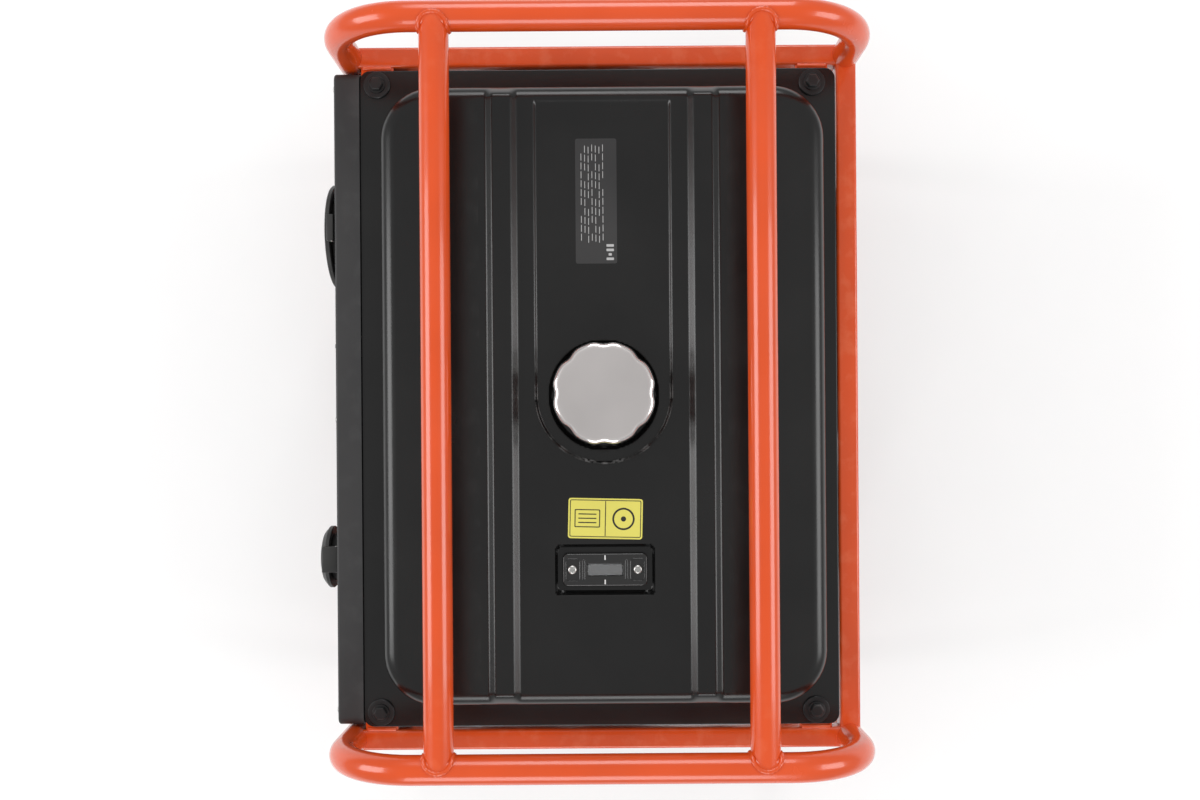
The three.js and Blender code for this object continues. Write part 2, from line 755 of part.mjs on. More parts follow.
// A round lid with a domed face. The hinge block on top has two cheeks that carry the pin.
function socketLid(diameter, stand, dome, ahead, hingeAhead) {
  const radius = diameter / 2;
  const profile = [
    [0, -stand + 3],
    [radius, -stand + 3],
    [radius, -stand - 2],
    [radius * 0.9, -stand - dome * 0.45],
    [radius * 0.6, -stand - dome * 0.85],
    [0, -stand - dome],
  ];
  const disc = turned(profile.reverse(), "y", [0, 0, 0], 32);
  const half = hingeLength / 2;
  const pivot = [0, -ahead, radius + lidPivotRise];
  const roof = pivot[2] + lidEarDia / 2 + 3 * gap;
  const back = -ahead + lidEarDia / 2;
  const hinge = block([-half, -hingeAhead, radius - 4], [half, back, roof + hingeRoof]);
  const cheek = half - hingeCheek;
  const room = block([-cheek, -stand + 3, 0], [cheek, 1, roof]);
  const pin = rod(lidPinDia, -cheek - 1, cheek + 1, "x", pivot, 12);
  return join(disc, hinge.subtract(room), pin);
}

function breakerBody() {
  const [w, t] = [breakerWidth / 2, breakerTall / 2];
  const front = block([-w - 4, -3, -t - 4], [w + 4, -gap, t + 4]);
  const back = block([-w, -1, -t], [w, 36, t]);
  const slot = block([-9, -4, -16], [9, 14, 16]);
  return cut(join(front, back), slot);
}

// The breaker's switch pivots about an axis along X, 6 mm behind the panel's face.
function breakerToggle() {
  const hub = rod(14, -7, 7, "x", [0, 6, 0], 20);
  const lever = block([-6, -12, -4], [6, 2, 4]);
  return surface(join(hub, lever)).translate(0, -6, 0).rotateX(toggleTilt).translate(0, 6, 0);
}

function ignitionKey() {
  const barrel = rod(keyBarrelDia, -3, 30, "y", [0, 0, 0], 24);
  const bow = block([-3, -26, -10], [3, -4, 10]);
  const blade = block([-1.5, -8, -4], [1.5, 0, 4]);
  return join(barrel, bow, blade);
}

function buildPanel(root) {
  const panel = new THREE.Group();
  panel.position.set(0, -panelFront, panelTop);
  piece(panel, "panel_shell", panelShell(), panelPaint);
  const big = [bigSocketX, 0, -bigSocketDrop];
  const bigBody = socketBody(
    bigHoleDia, bigCollarDia, bigLidDia, bigLidStand, bigPivotAhead, bigWellDia, bigSocketDepth,
  );
  const bigLid = socketLid(bigLidDia, bigLidStand, bigLidDome, bigPivotAhead, bigHingeAhead);
  piece(panel, "large_socket_body", bigBody, blackPlastic, big);
  piece(panel, "large_socket_lid", bigLid, blackPlastic, big);
  const small = [smallSocketX, 0, -smallSocketDrop];
  const smallBody = socketBody(
    smallHoleDia, smallCollarDia, smallLidDia, smallLidStand, smallPivotAhead,
    smallWellDia, smallSocketDepth,
  );
  const smallLid = socketLid(
    smallLidDia, smallLidStand, smallLidDome, smallPivotAhead, smallHingeAhead,
  );
  piece(panel, "small_socket_body", smallBody, blackPlastic, small);
  piece(panel, "small_socket_lid", smallLid, blackPlastic, small);
  const breaker = [breakerX, 0, -breakerDrop];
  piece(panel, "breaker_body", breakerBody(), blackPlastic, breaker);
  piece(panel, "breaker_toggle", breakerToggle(), blackPlastic, breaker);
  piece(panel, "ignition_key", ignitionKey(), brightSteel, [keyX, 0, -keyDrop]);
  root.add(panel);
}

// ------------------------------------------------------------------ engine
// The engine group's origin is on the crankshaft's axis. Pieces along the cylinder are made along
// +Y and turned about the crankshaft by the slant.
const upCylinder = (body) => solid(surface(body).rotateX(slant));

function crankcase() {
  const height = caseAbove + caseBelow;
  const width = caseFront + caseBack;
  const [cy, cz] = [(caseBack - caseFront) / 2, (caseAbove - caseBelow) / 2];
  const wrap = (w, h, corner, x0, x1) =>
    solid(
      prismShape(roundedRectangle(h, w, corner, -cz, cy), x0, x1, 3).rotateY(Math.PI / 2),
    );
  const outer = wrap(width, height, caseCorner, caseStart, caseEnd);
  const inner = wrap(
    width - 2 * caseWall,
    height - 2 * caseWall,
    caseCorner - caseWall,
    caseStart - 1,
    caseEnd - caseWall,
  );
  const barrel = rod(barrelDia, 40, deck, "y", [cylinderX, 0, 0], 16);
  const fins = [];
  for (let i = 0; i < finCount; i++) {
    const y = deck - finThick - 2 - i * finPitch;
    const half = finSize / 2;
    const low = i < 2 ? -half : -half + 14;
    fins.push(block([cylinderX - half, y, low], [cylinderX + half, y + finThick, half - 12]));
  }
  const bore = upCylinder(rod(boreDia, 20, deck + 1, "y", [cylinderX, 0, 0], 20));
  const barrelOutside = cut(upCylinder(join(barrel, ...fins)), inner);
  const shaft = rod(journalDia + 4 * gap, caseEnd - caseWall - 1, caseEnd + 1, "x", [0, 0, 0], 24);
  const dipstickHole = rod(22, -caseFront - 1, -caseFront + caseWall + 1, "y", [caseEnd - 36, 0, -58], 20);
  return cut(join(outer, barrelOutside), inner, bore, shaft, dipstickHole);
}

function cylinderHead() {
  const half = headLength / 2;
  const tall = headTall / 2;
  const start = deck + gap;
  const core = block([-half + 12, start, -tall + 8], [half - 12, start + headDepth, tall - 8]);
  const fins = [];
  for (let y = start; y < start + headDepth - finThick; y += finPitch + 1) {
    fins.push(block([-half, y, -tall], [half, y + finThick, tall]));
  }
  const middle = start + headDepth / 2;
  const ports = rod(38, -half, half, "x", [0, middle, 0], 24);
  const chamber = rod(boreDia - 14, start - 1, start + 8, "y", [0, 0, 0], 24);
  const head = cut(join(core, ports, ...fins), chamber);
  return surface(head).rotateX(slant).translate(cylinderX, 0, 0);
}

function valveCover() {
  const start = deck + headDepth + 2 * gap;
  const shape = roundedRectangle(coverLength, coverTall, 14);
  const options = {
    depth: coverDepth - 8,
    bevelThickness: 8,
    bevelSize: 8,
    bevelOffset: -8,
    bevelSegments: 2,
    curveSegments: 3,
  };
  const crown = new THREE.ExtrudeGeometry(shape, options).rotateX(-Math.PI / 2);
  const low = block([-coverLength, -20, -coverTall], [coverLength, 0, coverTall]);
  const shell = solid(crown).subtract(low);
  const inside = block(
    [-coverLength / 2 + 10, -1, -coverTall / 2 + 10],
    [coverLength / 2 - 10, coverDepth - 6, coverTall / 2 - 10],
  );
  const cover = surface(shell.subtract(inside)).translate(cylinderX, start, 0);
  return cover.rotateX(slant);
}

function crankshaft() {
  const main = rod(journalDia, statorEnd - 60, shroudEnd - 24, "x", [0, 0, 0], 24);
  const width = 16;
  const middle = cylinderX;
  const room = block([middle - 18, -200, -200], [middle + 18, 200, 200]);
  const webs = [-1, 1].map((side) => {
    const x = middle + side * (18 + width / 2);
    const weight = rod(104, x - width / 2, x + width / 2, "x", [0, 0, 0], 28);
    const trim = block([x - width, 12, -200], [x + width, 200, -26]);
    const trimOther = block([x - width, 12, 26], [x + width, 200, 200]);
    return cut(weight, trim, trimOther);
  });
  const pin = rod(34, middle - 20, middle + 20, "x", [0, crankThrow, 0], 24);
  return surface(join(cut(main, room), ...webs, pin)).rotateX(slant);
}

function piston() {
  const top = deck - 1;
  const crown = rod(boreDia - 3 * gap, top - pistonLength, top, "y", [cylinderX, 0, 0], 20);
  const inside = rod(boreDia - 12, top - pistonLength - 1, top - 8, "y", [cylinderX, 0, 0], 24);
  const pin = rod(20, cylinderX - 40, cylinderX + 40, "x", [0, top - 32, 0], 16);
  return surface(join(cut(crown, inside), pin)).rotateX(slant);
}

function flywheel() {
  const start = caseEnd + 10;
  const end = shroudEnd - 22;
  const disc = rod(flywheelDia, start, start + 18, "x", [0, 0, 0], 28);
  const cup = rod(84, start, end, "x", [0, 0, 0], 28);
  const blades = [];
  const count = 10;
  for (let i = 0; i < count; i++) {
    const blade = block([start + 16, -2, flywheelDia / 2 - 34], [start + 40, 2, flywheelDia / 2 - 1]);
    blades.push(solid(surface(blade).rotateX((2 * Math.PI * i) / count)));
  }
  const shaft = rod(journalDia + 2 * gap, start - 1, end + 1, "x", [0, 0, 0], 24);
  return cut(join(disc, cup, ...blades), shaft);
}

// The cooling fan's housing, open to the crankcase and, in the middle, to the starter.
function fanShroud() {
  const start = caseEnd + 4;
  const outer = rod(shroudDia, start, shroudEnd, "x", [0, 0, 0], 28);
  const inner = rod(shroudDia - 2 * shroudWall, start - 1, shroudEnd - shroudWall, "x", [0, 0, 0], 28);
  const mouth = rod(starterDia - 30, shroudEnd - 10, shroudEnd + 1, "x", [0, 0, 0], 28);
  return cut(outer, inner, mouth);
}

// The starter's cover: a dish with radial air slots and a guide for the rope.
function starterCover() {
  const start = shroudEnd + gap;
  const end = start + starterDepth;
  const dish = turned(
    [
      [0, start],
      [starterDia / 2, start],
      [starterDia / 2, start + 10],
      [starterDia / 2 - 12, end - 4],
      [starterDia / 2 - 18, end],
      [0, end],
    ],
    "x",
    [0, 0, 0],
    28,
  );
  const inside = rod(starterDia - 44, start - 1, end - 3, "x", [0, 0, 0], 28);
  const guide = block([start, -starterDia / 2 - 8, handleRise - 12], [end - 4, -50, handleRise + 12]);
  const ropeHole = rod(8, -starterDia / 2 - 10, 0, "y", [handleX, 0, handleRise], 12);
  const slots = [];
  const count = 8;
  for (let i = 0; i < count; i++) {
    const slot = block([start - 1, -4, 34], [end + 1, 4, 62]);
    slots.push(solid(surface(slot).rotateX((2 * Math.PI * (i + 0.5)) / count)));
  }
  const dishShell = cut(join(dish, guide), inside, ropeHole);
  return cut(dishShell, ...slots);
}

function starterPulley() {
  const middle = handleX;
  const half = pulleyThick / 2;
  const rims = rod(pulleyDia + 12, middle - half, middle + half, "x", [0, 0, 0], 24);
  const groove = join(
    rod(pulleyDia + 20, middle - 3, middle + 3, "x", [0, 0, 0], 24),
  ).subtract(rod(pulleyDia - 6, middle - 4, middle + 4, "x", [0, 0, 0], 24));
  const shaft = rod(10, middle - half - 1, middle + half + 1, "x", [0, 0, 0], 16);
  return cut(rims, groove, shaft);
}

// The grip with the first stretch of its rope, which runs back to the pulley.
function starterHandle() {
  const y = -starterDia / 2 - 8 - gap;
  const grip = turned(
    [
      [0, -gripLength / 2],
      [8, -gripLength / 2],
      [11, -gripLength / 2 + 6],
      [9, 0],
      [11, gripLength / 2 - 6],
      [8, gripLength / 2],
      [0, gripLength / 2],
    ],
    "z",
    [handleX, y - 22, handleRise],
    16,
  );
  const neck = rod(16, y - 16, y, "y", [handleX, 0, handleRise], 16);
  const rope = rod(ropeDia, y - 2, -4, "y", [handleX, 0, handleRise], 8);
  return join(grip, neck, rope);
}

function dipstick() {
  const cap = rod(30, -caseFront - 14, -caseFront - gap, "y", [0, 0, 0], 16);
  const stem = rod(20, -caseFront - 1, -caseFront + 10, "y", [0, 0, 0], 16);
  const blade = block([-3, -caseFront + 5, -1], [3, -caseFront + 48, 1]);
  const wing = block([-12, -caseFront - 22, -3], [12, -caseFront - 12, 3]);
  return join(cap, stem, blade, wing);
}

function carburettor() {
  const start = -carbLength / 2;
  const end = carbLength / 2;
  const body = rod(38, start, end, "x", [0, 0, 0], 24);
  const flange = block([start, -30, -20], [start + 6, 30, 20]);
  const bowl = rod(40, -52, -14, "z", [-2, 0, 0], 20);
  const top = block([-16, -16, 8], [18, 16, 24]);
  const nipple = rod(6, 20, 27, "z", [0, -6, 0], 12);
  return join(body, flange, bowl, top, nipple);
}

// The choke lever turns about an upright axis on the carburettor's top, behind the fuel union.
function chokeLever() {
  const hub = rod(12, 24 + gap, 29, "z", [0, 0, 0], 16);
  const arm = block([-4, -46, 25], [4, 0, 28]);
  const pad = rod(12, 25, 33, "z", [0, -44, 0], 12);
  return join(hub, arm, pad);
}

// The air cleaner's box, with the elbow that leads to the carburettor.
function airBox() {
  const [x, y, z] = [airBoxX, airBoxY - crankY, airBoxZ - crankZ];
  const shape = roundedRectangle(airBoxLength, airBoxWide, 16, x, y);
  const box = prism(shape, z - airBoxTall / 2, z + airBoxTall / 2 - 4, 3);
  const back = y + airBoxWide / 2;
  const inlet = carbX + carbLength / 2 + gap;
  const [cy, cz] = [carbY - crankY, carbZ - crankZ];
  const elbow = pipe(
    [
      [x + 40, back - 4, z + 6],
      [x + 40, back + 30, z + 6],
      [inlet + 30, back + 70, z + 6],
      [inlet + 30, cy, z + 6],
      [inlet + 30, cy, cz],
      [inlet, cy, cz],
    ],
    ductDia,
    24,
    3,
    12,
  );
  return join(box, solid(elbow));
}

function buildEngine(root) {
  const engine = new THREE.Group();
  engine.position.set(0, crankY, crankZ);
  piece(engine, "crankcase", crankcase(), castAlloy);
  piece(engine, "cylinder_head", cylinderHead(), castAlloy);
  piece(engine, "valve_cover", valveCover(), castAlloy);
  piece(engine, "crankshaft", crankshaft(), brightSteel);
  piece(engine, "piston", piston(), castAlloy);
  piece(engine, "flywheel_fan", flywheel(), darkSteel);
  piece(engine, "fan_shroud", fanShroud(), blackPaint);
  piece(engine, "starter_cover", starterCover(), blackPaint);
  piece(engine, "starter_pulley", starterPulley(), blackPlastic);
  piece(engine, "starter_handle", starterHandle(), blackPlastic);
  piece(engine, "oil_dipstick", dipstick(), blackPlastic, [caseEnd - 36, 0, -58]);
  piece(engine, "air_box", airBox(), blackPlastic);
  const carb = [carbX, carbY - crankY, carbZ - crankZ];
  piece(engine, "carburettor", carburettor(), castAlloy, carb);
  piece(engine, "choke_lever", chokeLever(), brightSteel, [carb[0] + 12, carb[1] + 8, carb[2]]);
  root.add(engine);
}

// ------------------------------------------------------------------ muffler
function muffler() {
  const can = (inset) => {
    const [tall, wide] = [mufflerTall - 2 * inset, mufflerWide - 2 * inset];
    const shape = roundedRectangle(tall, wide, mufflerCorner - inset, -mufflerZ, mufflerY);
    return solid(prismShape(shape, mufflerStart + inset, mufflerEnd - inset, 5).rotateY(Math.PI / 2));
  };
  const head = cylinderX - headLength / 2 - gap;
  const [outletY, outletZ] = [mufflerY + 14, mufflerZ - 12];
  const pipeIn = rod(30, mufflerEnd - 1, head, "x", [0, carbY, carbZ], 20);
  const pipeBore = rod(22, mufflerEnd - mufflerWall - 1, head + 1, "x", [0, carbY, carbZ], 20);
  const outlet = rod(26, mufflerStart - 18, mufflerStart + 1, "x", [0, outletY, outletZ], 20);
  const mouth = rod(22, mufflerStart - 19, mufflerStart + 8, "x", [0, outletY, outletZ], 20);
  return cut(join(can(0), pipeIn, outlet), can(mufflerWall), pipeBore, mouth);
}

// A slotted plate over the back and the top of the muffler.
function mufflerGuard() {
  const y = mufflerY + mufflerWide / 2 + guardGap;
  const z = mufflerZ + mufflerTall / 2 + guardGap;
  const [x0, x1] = [mufflerStart + 6, mufflerEnd - 6];
  const back = block([x0, y, mufflerZ - mufflerTall / 2], [x1, y + sheet, z + sheet]);
  const top = block([x0, mufflerY - mufflerWide / 2 + 6, z], [x1, y + 1, z + sheet]);
  const slots = [];
  const pitch = 22;
  for (let x = x0 + pitch; x < x1 - pitch; x += pitch) {
    for (const low of [-36, 8]) {
      slots.push(block([x, y - 1, mufflerZ + low], [x + 10, y + sheet + 1, mufflerZ + low + 30]));
    }
  }
  const lugs = [x0 + 24, x1 - 24].map((x) =>
    rod(10, mufflerY + mufflerWide / 2 + gap, y + 1, "y", [x, 0, mufflerZ], 12),
  );
  return cut(join(back, top, ...lugs), ...slots);
}

function buildMuffler(root) {
  const exhaust = new THREE.Group();
  piece(exhaust, "muffler", muffler(), darkSteel);
  piece(exhaust, "muffler_guard", mufflerGuard(), darkSteel);
  root.add(exhaust);
}

// ------------------------------------------------------------------ alternator
// The alternator group's origin is on the crankshaft's axis too.
function statorHousing() {
  const bracket = caseStart - gap;
  const barrel = turned(
    [
      [0, statorStart],
      [statorDia / 2, statorStart],
      [statorDia / 2, statorEnd],
      [statorDia / 2 - 12, bracket],
      [0, bracket],
    ],
    "x",
    [0, 0, 0],
    28,
  );
  const bore = rod(statorDia - 2 * statorWall, statorStart - 1, bracket + 1, "x", [0, 0, 0], 28);
  const low = mountTop - crankZ;
  const footPad = block([alternatorBeamX - 24, -92, low], [alternatorBeamX + 24, 92, low + 16]);
  const web = block([alternatorBeamX - 16, -70, low + 8], [alternatorBeamX + 16, 70, low + 42]);
  return cut(join(barrel, footPad, web), bore);
}

function rotor() {
  const core = rod(rotorDia, statorStart + 30, statorEnd - 34, "x", [0, 0, 0], 24);
  const shaft = rod(30, statorStart - 34, statorStart + 31, "x", [0, 0, 0], 24);
  const slipRings = rod(46, statorStart - 22, statorStart - 4, "x", [0, 0, 0], 24);
  const socket = rod(journalDia + 2 * gap, statorEnd - 62, statorEnd, "x", [0, 0, 0], 24);
  const fan = rod(rotorDia + 12, statorEnd - 34, statorEnd - 18, "x", [0, 0, 0], 24);
  return cut(join(core, shaft, slipRings, fan), socket);
}

function endCover() {
  const end = statorStart - gap;
  const start = end - endCoverLength;
  const dish = turned(
    [
      [0, start],
      [statorDia / 2 - 22, start],
      [statorDia / 2 - 4, start + 14],
      [statorDia / 2 - 2, end],
      [0, end],
    ],
    "x",
    [0, 0, 0],
    28,
  );
  const inside = rod(statorDia - 40, start + 4, end + 1, "x", [0, 0, 0], 24);
  const slots = [];
  for (let i = -3; i <= 3; i++) {
    slots.push(block([start - 1, -46, i * 16 - 3], [start + 6, 46, i * 16 + 3]));
  }
  return cut(dish, inside, ...slots);
}

function buildAlternator(root) {
  const alternator = new THREE.Group();
  alternator.position.set(0, crankY, crankZ);
  piece(alternator, "stator_housing", statorHousing(), castAlloy);
  piece(alternator, "rotor", rotor(), windings);
  piece(alternator, "alternator_end_cover", endCover(), blackPaint);
  root.add(alternator);
}

// ------------------------------------------------------------------ assembly
// The small lid reaches further to the front than the feet do to the back, so the whole machine
// moves back by half of the difference, and the origin stays in the middle of the outline.
const generator = new THREE.Group();
for (const build of [
  buildFrame,
  buildTank,
  buildFuelLine,
  buildPanel,
  buildEngine,
  buildMuffler,
  buildAlternator,
]) {
  build(generator);
}
const frontReach = panelFront + smallLidStand + 9;
const backReach = legY + footDia / 2;
generator.position.y = (frontReach - backReach) / 2;

export default generator;
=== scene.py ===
"""Looks of the portable open-frame generator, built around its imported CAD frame."""

import json
import logging
import math
from dataclasses import dataclass, field
from enum import Enum
from typing import Callable, Sequence

import bmesh
import bpy
from mathutils import Matrix, Vector, noise


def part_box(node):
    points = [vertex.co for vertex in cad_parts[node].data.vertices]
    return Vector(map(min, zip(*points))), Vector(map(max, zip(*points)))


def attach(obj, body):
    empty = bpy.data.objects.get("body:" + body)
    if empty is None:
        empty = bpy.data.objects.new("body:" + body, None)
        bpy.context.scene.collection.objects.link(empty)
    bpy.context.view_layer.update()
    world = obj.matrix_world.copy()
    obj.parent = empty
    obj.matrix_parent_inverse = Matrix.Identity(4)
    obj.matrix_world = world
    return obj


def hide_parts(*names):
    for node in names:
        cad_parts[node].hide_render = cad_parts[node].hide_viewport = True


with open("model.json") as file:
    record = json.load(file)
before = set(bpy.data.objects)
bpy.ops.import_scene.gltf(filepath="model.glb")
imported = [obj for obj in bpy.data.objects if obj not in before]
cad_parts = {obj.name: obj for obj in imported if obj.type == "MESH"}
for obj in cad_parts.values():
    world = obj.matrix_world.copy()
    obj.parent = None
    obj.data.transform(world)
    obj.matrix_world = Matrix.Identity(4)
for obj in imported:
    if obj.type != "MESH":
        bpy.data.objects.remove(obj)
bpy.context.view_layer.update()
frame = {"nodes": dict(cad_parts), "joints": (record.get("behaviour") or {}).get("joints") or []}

MM = 0.001
MACHINE = "machine"
Colour = tuple[float, float, float]
Point = Sequence[float]
log = logging.getLogger("generator")


def centre(node: str) -> Vector:
    """Gives the middle of a CAD node's box."""
    low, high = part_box(node)
    return (low + high) / 2


def soft_step(x: float) -> float:
    """Goes smoothly from 0 at x = 0 to 1 at x = 1."""
    x = min(max(x, 0.0), 1.0)
    return x * x * (3 - 2 * x)


class Axis(Enum):
    """A row axis that a turned piece runs along."""

    X = 0
    Y = 1
    Z = 2

    @property
    def direction(self) -> Vector:
        """The axis as a unit vector."""
        return Vector([float(i == self.value) for i in range(3)])

    @property
    def turn(self) -> tuple[float, float, float]:
        """The Euler angles that take a primitive's own Z to this axis."""
        return [(0, math.pi / 2, 0), (-math.pi / 2, 0, 0), (0, 0, 0)][self.value]


# ------------------------------------------------------------------ modelling
class Bench:
    """The modelling bench: primitives, edit-mode moves and applied modifiers."""

    @staticmethod
    def clear() -> None:
        """Deselects everything."""
        bpy.ops.object.select_all(action="DESELECT")

    @staticmethod
    def hold(*pieces: bpy.types.Object) -> None:
        """Selects just these pieces, the first one active.

        Args:
            pieces: what to select.
        """
        Bench.clear()
        for piece in pieces:
            piece.select_set(True)
        bpy.context.view_layer.objects.active = pieces[0]

    @staticmethod
    def settle(piece: bpy.types.Object, name: str, smooth: float = 35) -> bpy.types.Object:
        """Puts a piece's place into its mesh, names it and smooths its round faces.

        Args:
            piece: the object to finish.
            name: its name from here on.
            smooth: the angle in degrees below which neighbouring faces shade as one.

        Returns:
            The same object.
        """
        Bench.hold(piece)
        bpy.ops.object.transform_apply(location=True, rotation=True, scale=True)
        bpy.ops.object.shade_smooth_by_angle(angle=math.radians(smooth))
        piece.name = name
        piece.data.name = name
        return piece

    @staticmethod
    def outward(piece: bpy.types.Object) -> None:
        """Merges doubled points and turns every face outwards."""
        Bench.hold(piece)
        bpy.ops.object.mode_set(mode="EDIT")
        bpy.ops.mesh.select_all(action="SELECT")
        bpy.ops.mesh.remove_doubles(threshold=1e-6)
        bpy.ops.mesh.normals_make_consistent(inside=False)
        bpy.ops.object.mode_set(mode="OBJECT")

    @staticmethod
    def turned(
        name: str, axis: Axis, at: Point, profile: Sequence[Point], sides: int = 64,
    ) -> bpy.types.Object:
        """Makes a turned piece by extruding and scaling a disc step by step.

        Args:
            name: the piece's name.
            axis: the axis it is turned about.
            at: a point on that axis, in metres; stations count from it.
            profile: pairs of radius and station, in millimetres.
            sides: how many sides the disc has.

        Returns:
            The closed piece.
        """
        Bench.clear()
        start = Vector(at)
        radius, station = profile[0]
        bpy.ops.mesh.primitive_circle_add(
            vertices=sides,
            radius=radius * MM,
            fill_type="NGON",
            location=start + axis.direction * station * MM,
            rotation=axis.turn,
        )
        piece = bpy.context.object
        bpy.ops.object.mode_set(mode="EDIT")
        bpy.ops.mesh.select_all(action="SELECT")
        for next_radius, next_station in profile[1:]:
            move = axis.direction * (next_station - station) * MM
            bpy.ops.mesh.extrude_region_move(TRANSFORM_OT_translate={"value": move})
            share = next_radius / radius
            middle = start + axis.direction * next_station * MM
            bpy.ops.transform.resize(value=(share, share, share), center_override=middle)
            radius, station = next_radius, next_station
        bpy.ops.object.mode_set(mode="OBJECT")
        Bench.outward(piece)
        return Bench.settle(piece, name)

    @staticmethod
    def pick_edges(piece: bpy.types.Object, test: Callable[[Vector, Vector], bool]) -> None:
        """Enters edit mode with the edges selected whose two ends pass a test.

        Args:
            piece: the object to edit.
            test: takes an edge's two ends and says whether it is wanted.
        """
        Bench.hold(piece)
        bpy.ops.object.mode_set(mode="EDIT")
        bpy.ops.mesh.select_mode(type="EDGE")
        bpy.ops.mesh.select_all(action="DESELECT")
        mesh = bmesh.from_edit_mesh(piece.data)
        for edge in mesh.edges:
            edge.select_set(test(edge.verts[0].co, edge.verts[1].co))
        bmesh.update_edit_mesh(piece.data)

    @staticmethod
    def soften(
        piece: bpy.types.Object, width: float, segments: int = 3, angle: float = 35,
    ) -> bpy.types.Object:
        """Rounds the sharp edges of a piece.

        Args:
            piece: the object to round.
            width: how much each edge loses, in millimetres.
            segments: how many faces each rounding has.
            angle: the least bend, in degrees, that counts as an edge.

        Returns:
            The same object.
        """
        Bench.hold(piece)
        bevel = piece.modifiers.new("soften", "BEVEL")
        bevel.width = width * MM
        bevel.segments = segments
        bevel.limit_method = "ANGLE"
        bevel.angle_limit = math.radians(angle)
        bpy.ops.object.modifier_apply(modifier=bevel.name)
        bpy.ops.object.shade_smooth_by_angle(angle=math.radians(35))
        return piece

    @staticmethod
    def block(
        name: str,
        low: Point,
        high: Point,
        corner: float = 0,
        axis: Axis = Axis.Z,
        edge: float = 0,
        steps: int = 6,
    ) -> bpy.types.Object:
        """Makes a block between two corners.

        Args:
            name: the piece's name.
            low: its lowest corner, in metres.
            high: its highest corner, in metres.
            corner: the rounding of the edges that run along axis, in millimetres.
            axis: the direction of those edges.
            edge: the rounding of every other edge, in millimetres.
            steps: how many faces a round corner has.

        Returns:
            The closed piece.
        """
        Bench.clear()
        low, high = Vector(low), Vector(high)
        bpy.ops.mesh.primitive_cube_add(size=1, location=(low + high) / 2, scale=high - low)
        piece = bpy.context.object
        bpy.ops.object.transform_apply(location=True, rotation=True, scale=True)
        if corner:
            Bench.pick_edges(piece, lambda a, b: abs((b - a).normalized().dot(axis.direction)) > 0.9)
            bpy.ops.mesh.bevel(offset=corner * MM, segments=steps, affect="EDGES")
            bpy.ops.object.mode_set(mode="OBJECT")
        if edge:
            Bench.soften(piece, edge)
        return Bench.settle(piece, name)

    @staticmethod
    def tube(
        name: str,
        corners: Sequence[Point],
        radius: float,
        bend: float = 0,
        sides: int = 40,
        steps: int = 14,
    ) -> bpy.types.Object:
        """Makes a bent tube: a disc extruded along each run and turned through each bend.

        Args:
            name: the piece's name.
            corners: where the runs of its centre line would meet, in metres.
            radius: of the tube, in millimetres.
            bend: the radius of each bend's centre line, in millimetres.
            sides: of the tube's section.
            steps: of each bend.

        Returns:
            The closed piece.
        """
        Bench.clear()
        points = [Vector(corner) for corner in corners]
        way = (points[1] - points[0]).normalized()
        bpy.ops.mesh.primitive_circle_add(
            vertices=sides,
            radius=radius * MM,
            fill_type="NGON",
            location=points[0],
            rotation=way.to_track_quat("Z", "Y").to_euler(),
        )
        piece = bpy.context.object
        bpy.ops.object.transform_apply(location=True, rotation=True, scale=True)
        bpy.ops.object.mode_set(mode="EDIT")
        bpy.ops.mesh.select_all(action="SELECT")
        here = points[0]
        for before, corner, after in zip(points, points[1:], points[2:]):
            into = (corner - before).normalized()
            out = (after - corner).normalized()
            angle = into.angle(out)
            setback = bend * MM * math.tan(angle / 2)
            start = corner - into * setback
            bpy.ops.mesh.extrude_region_move(TRANSFORM_OT_translate={"value": start - here})
            axis = into.cross(out).normalized()
            pivot = start + axis.cross(into) * bend * MM
            mesh = bmesh.from_edit_mesh(piece.data)
            for step in range(steps):
                bpy.ops.mesh.extrude_region_move(TRANSFORM_OT_translate={"value": (0, 0, 0)})
                mesh = bmesh.from_edit_mesh(piece.data)
                turning = Matrix.Rotation(angle / steps, 3, axis)
                chosen = [vert for vert in mesh.verts if vert.select]
                bmesh.ops.rotate(mesh, verts=chosen, cent=pivot, matrix=turning)
                bmesh.update_edit_mesh(piece.data)
            here = corner + out * setback
        bpy.ops.mesh.extrude_region_move(TRANSFORM_OT_translate={"value": points[-1] - here})
        bpy.ops.object.mode_set(mode="OBJECT")
        Bench.outward(piece)
        return Bench.settle(piece, name)

    @staticmethod
    def cut(piece: bpy.types.Object, *tools: bpy.types.Object) -> bpy.types.Object:
        """Cuts tools out of a piece and clears the tools away.

        Args:
            piece: what is cut.
            tools: what is taken out of it; they may not overlap one another.

        Returns:
            The cut piece.
        """
        tool = Bench.join("cutter", *tools) if len(tools) > 1 else tools[0]
        Bench.hold(piece)
        boolean = piece.modifiers.new("cut", "BOOLEAN")
        boolean.object = tool
        boolean.solver = "EXACT"
        bpy.ops.object.modifier_apply(modifier=boolean.name)
        bpy.data.objects.remove(tool, do_unlink=True)
        return Bench.settle(piece, piece.name)

    @staticmethod
    def join(name: str, *pieces: bpy.types.Object) -> bpy.types.Object:
        """Makes one object of several.

        Args:
            name: the name of the result.
            pieces: what is joined.

        Returns:
            The joined object.
        """
        Bench.hold(*pieces)
        if len(pieces) > 1:
            bpy.ops.object.join()
        return Bench.settle(bpy.context.view_layer.objects.active, name)

    @staticmethod
    def copy(piece: bpy.types.Object, name: str, matrix: Matrix) -> bpy.types.Object:
        """Copies a piece with a mesh of its own, moved in its mesh.

        Args:
            piece: what is copied.
            name: the copy's name.
            matrix: where its mesh goes.

        Returns:
            The copy.
        """
        other = piece.copy()
        other.data = piece.data.copy()
        other.data.transform(matrix)
        bpy.context.collection.objects.link(other)
        other.name = name
        other.data.name = name
        return other

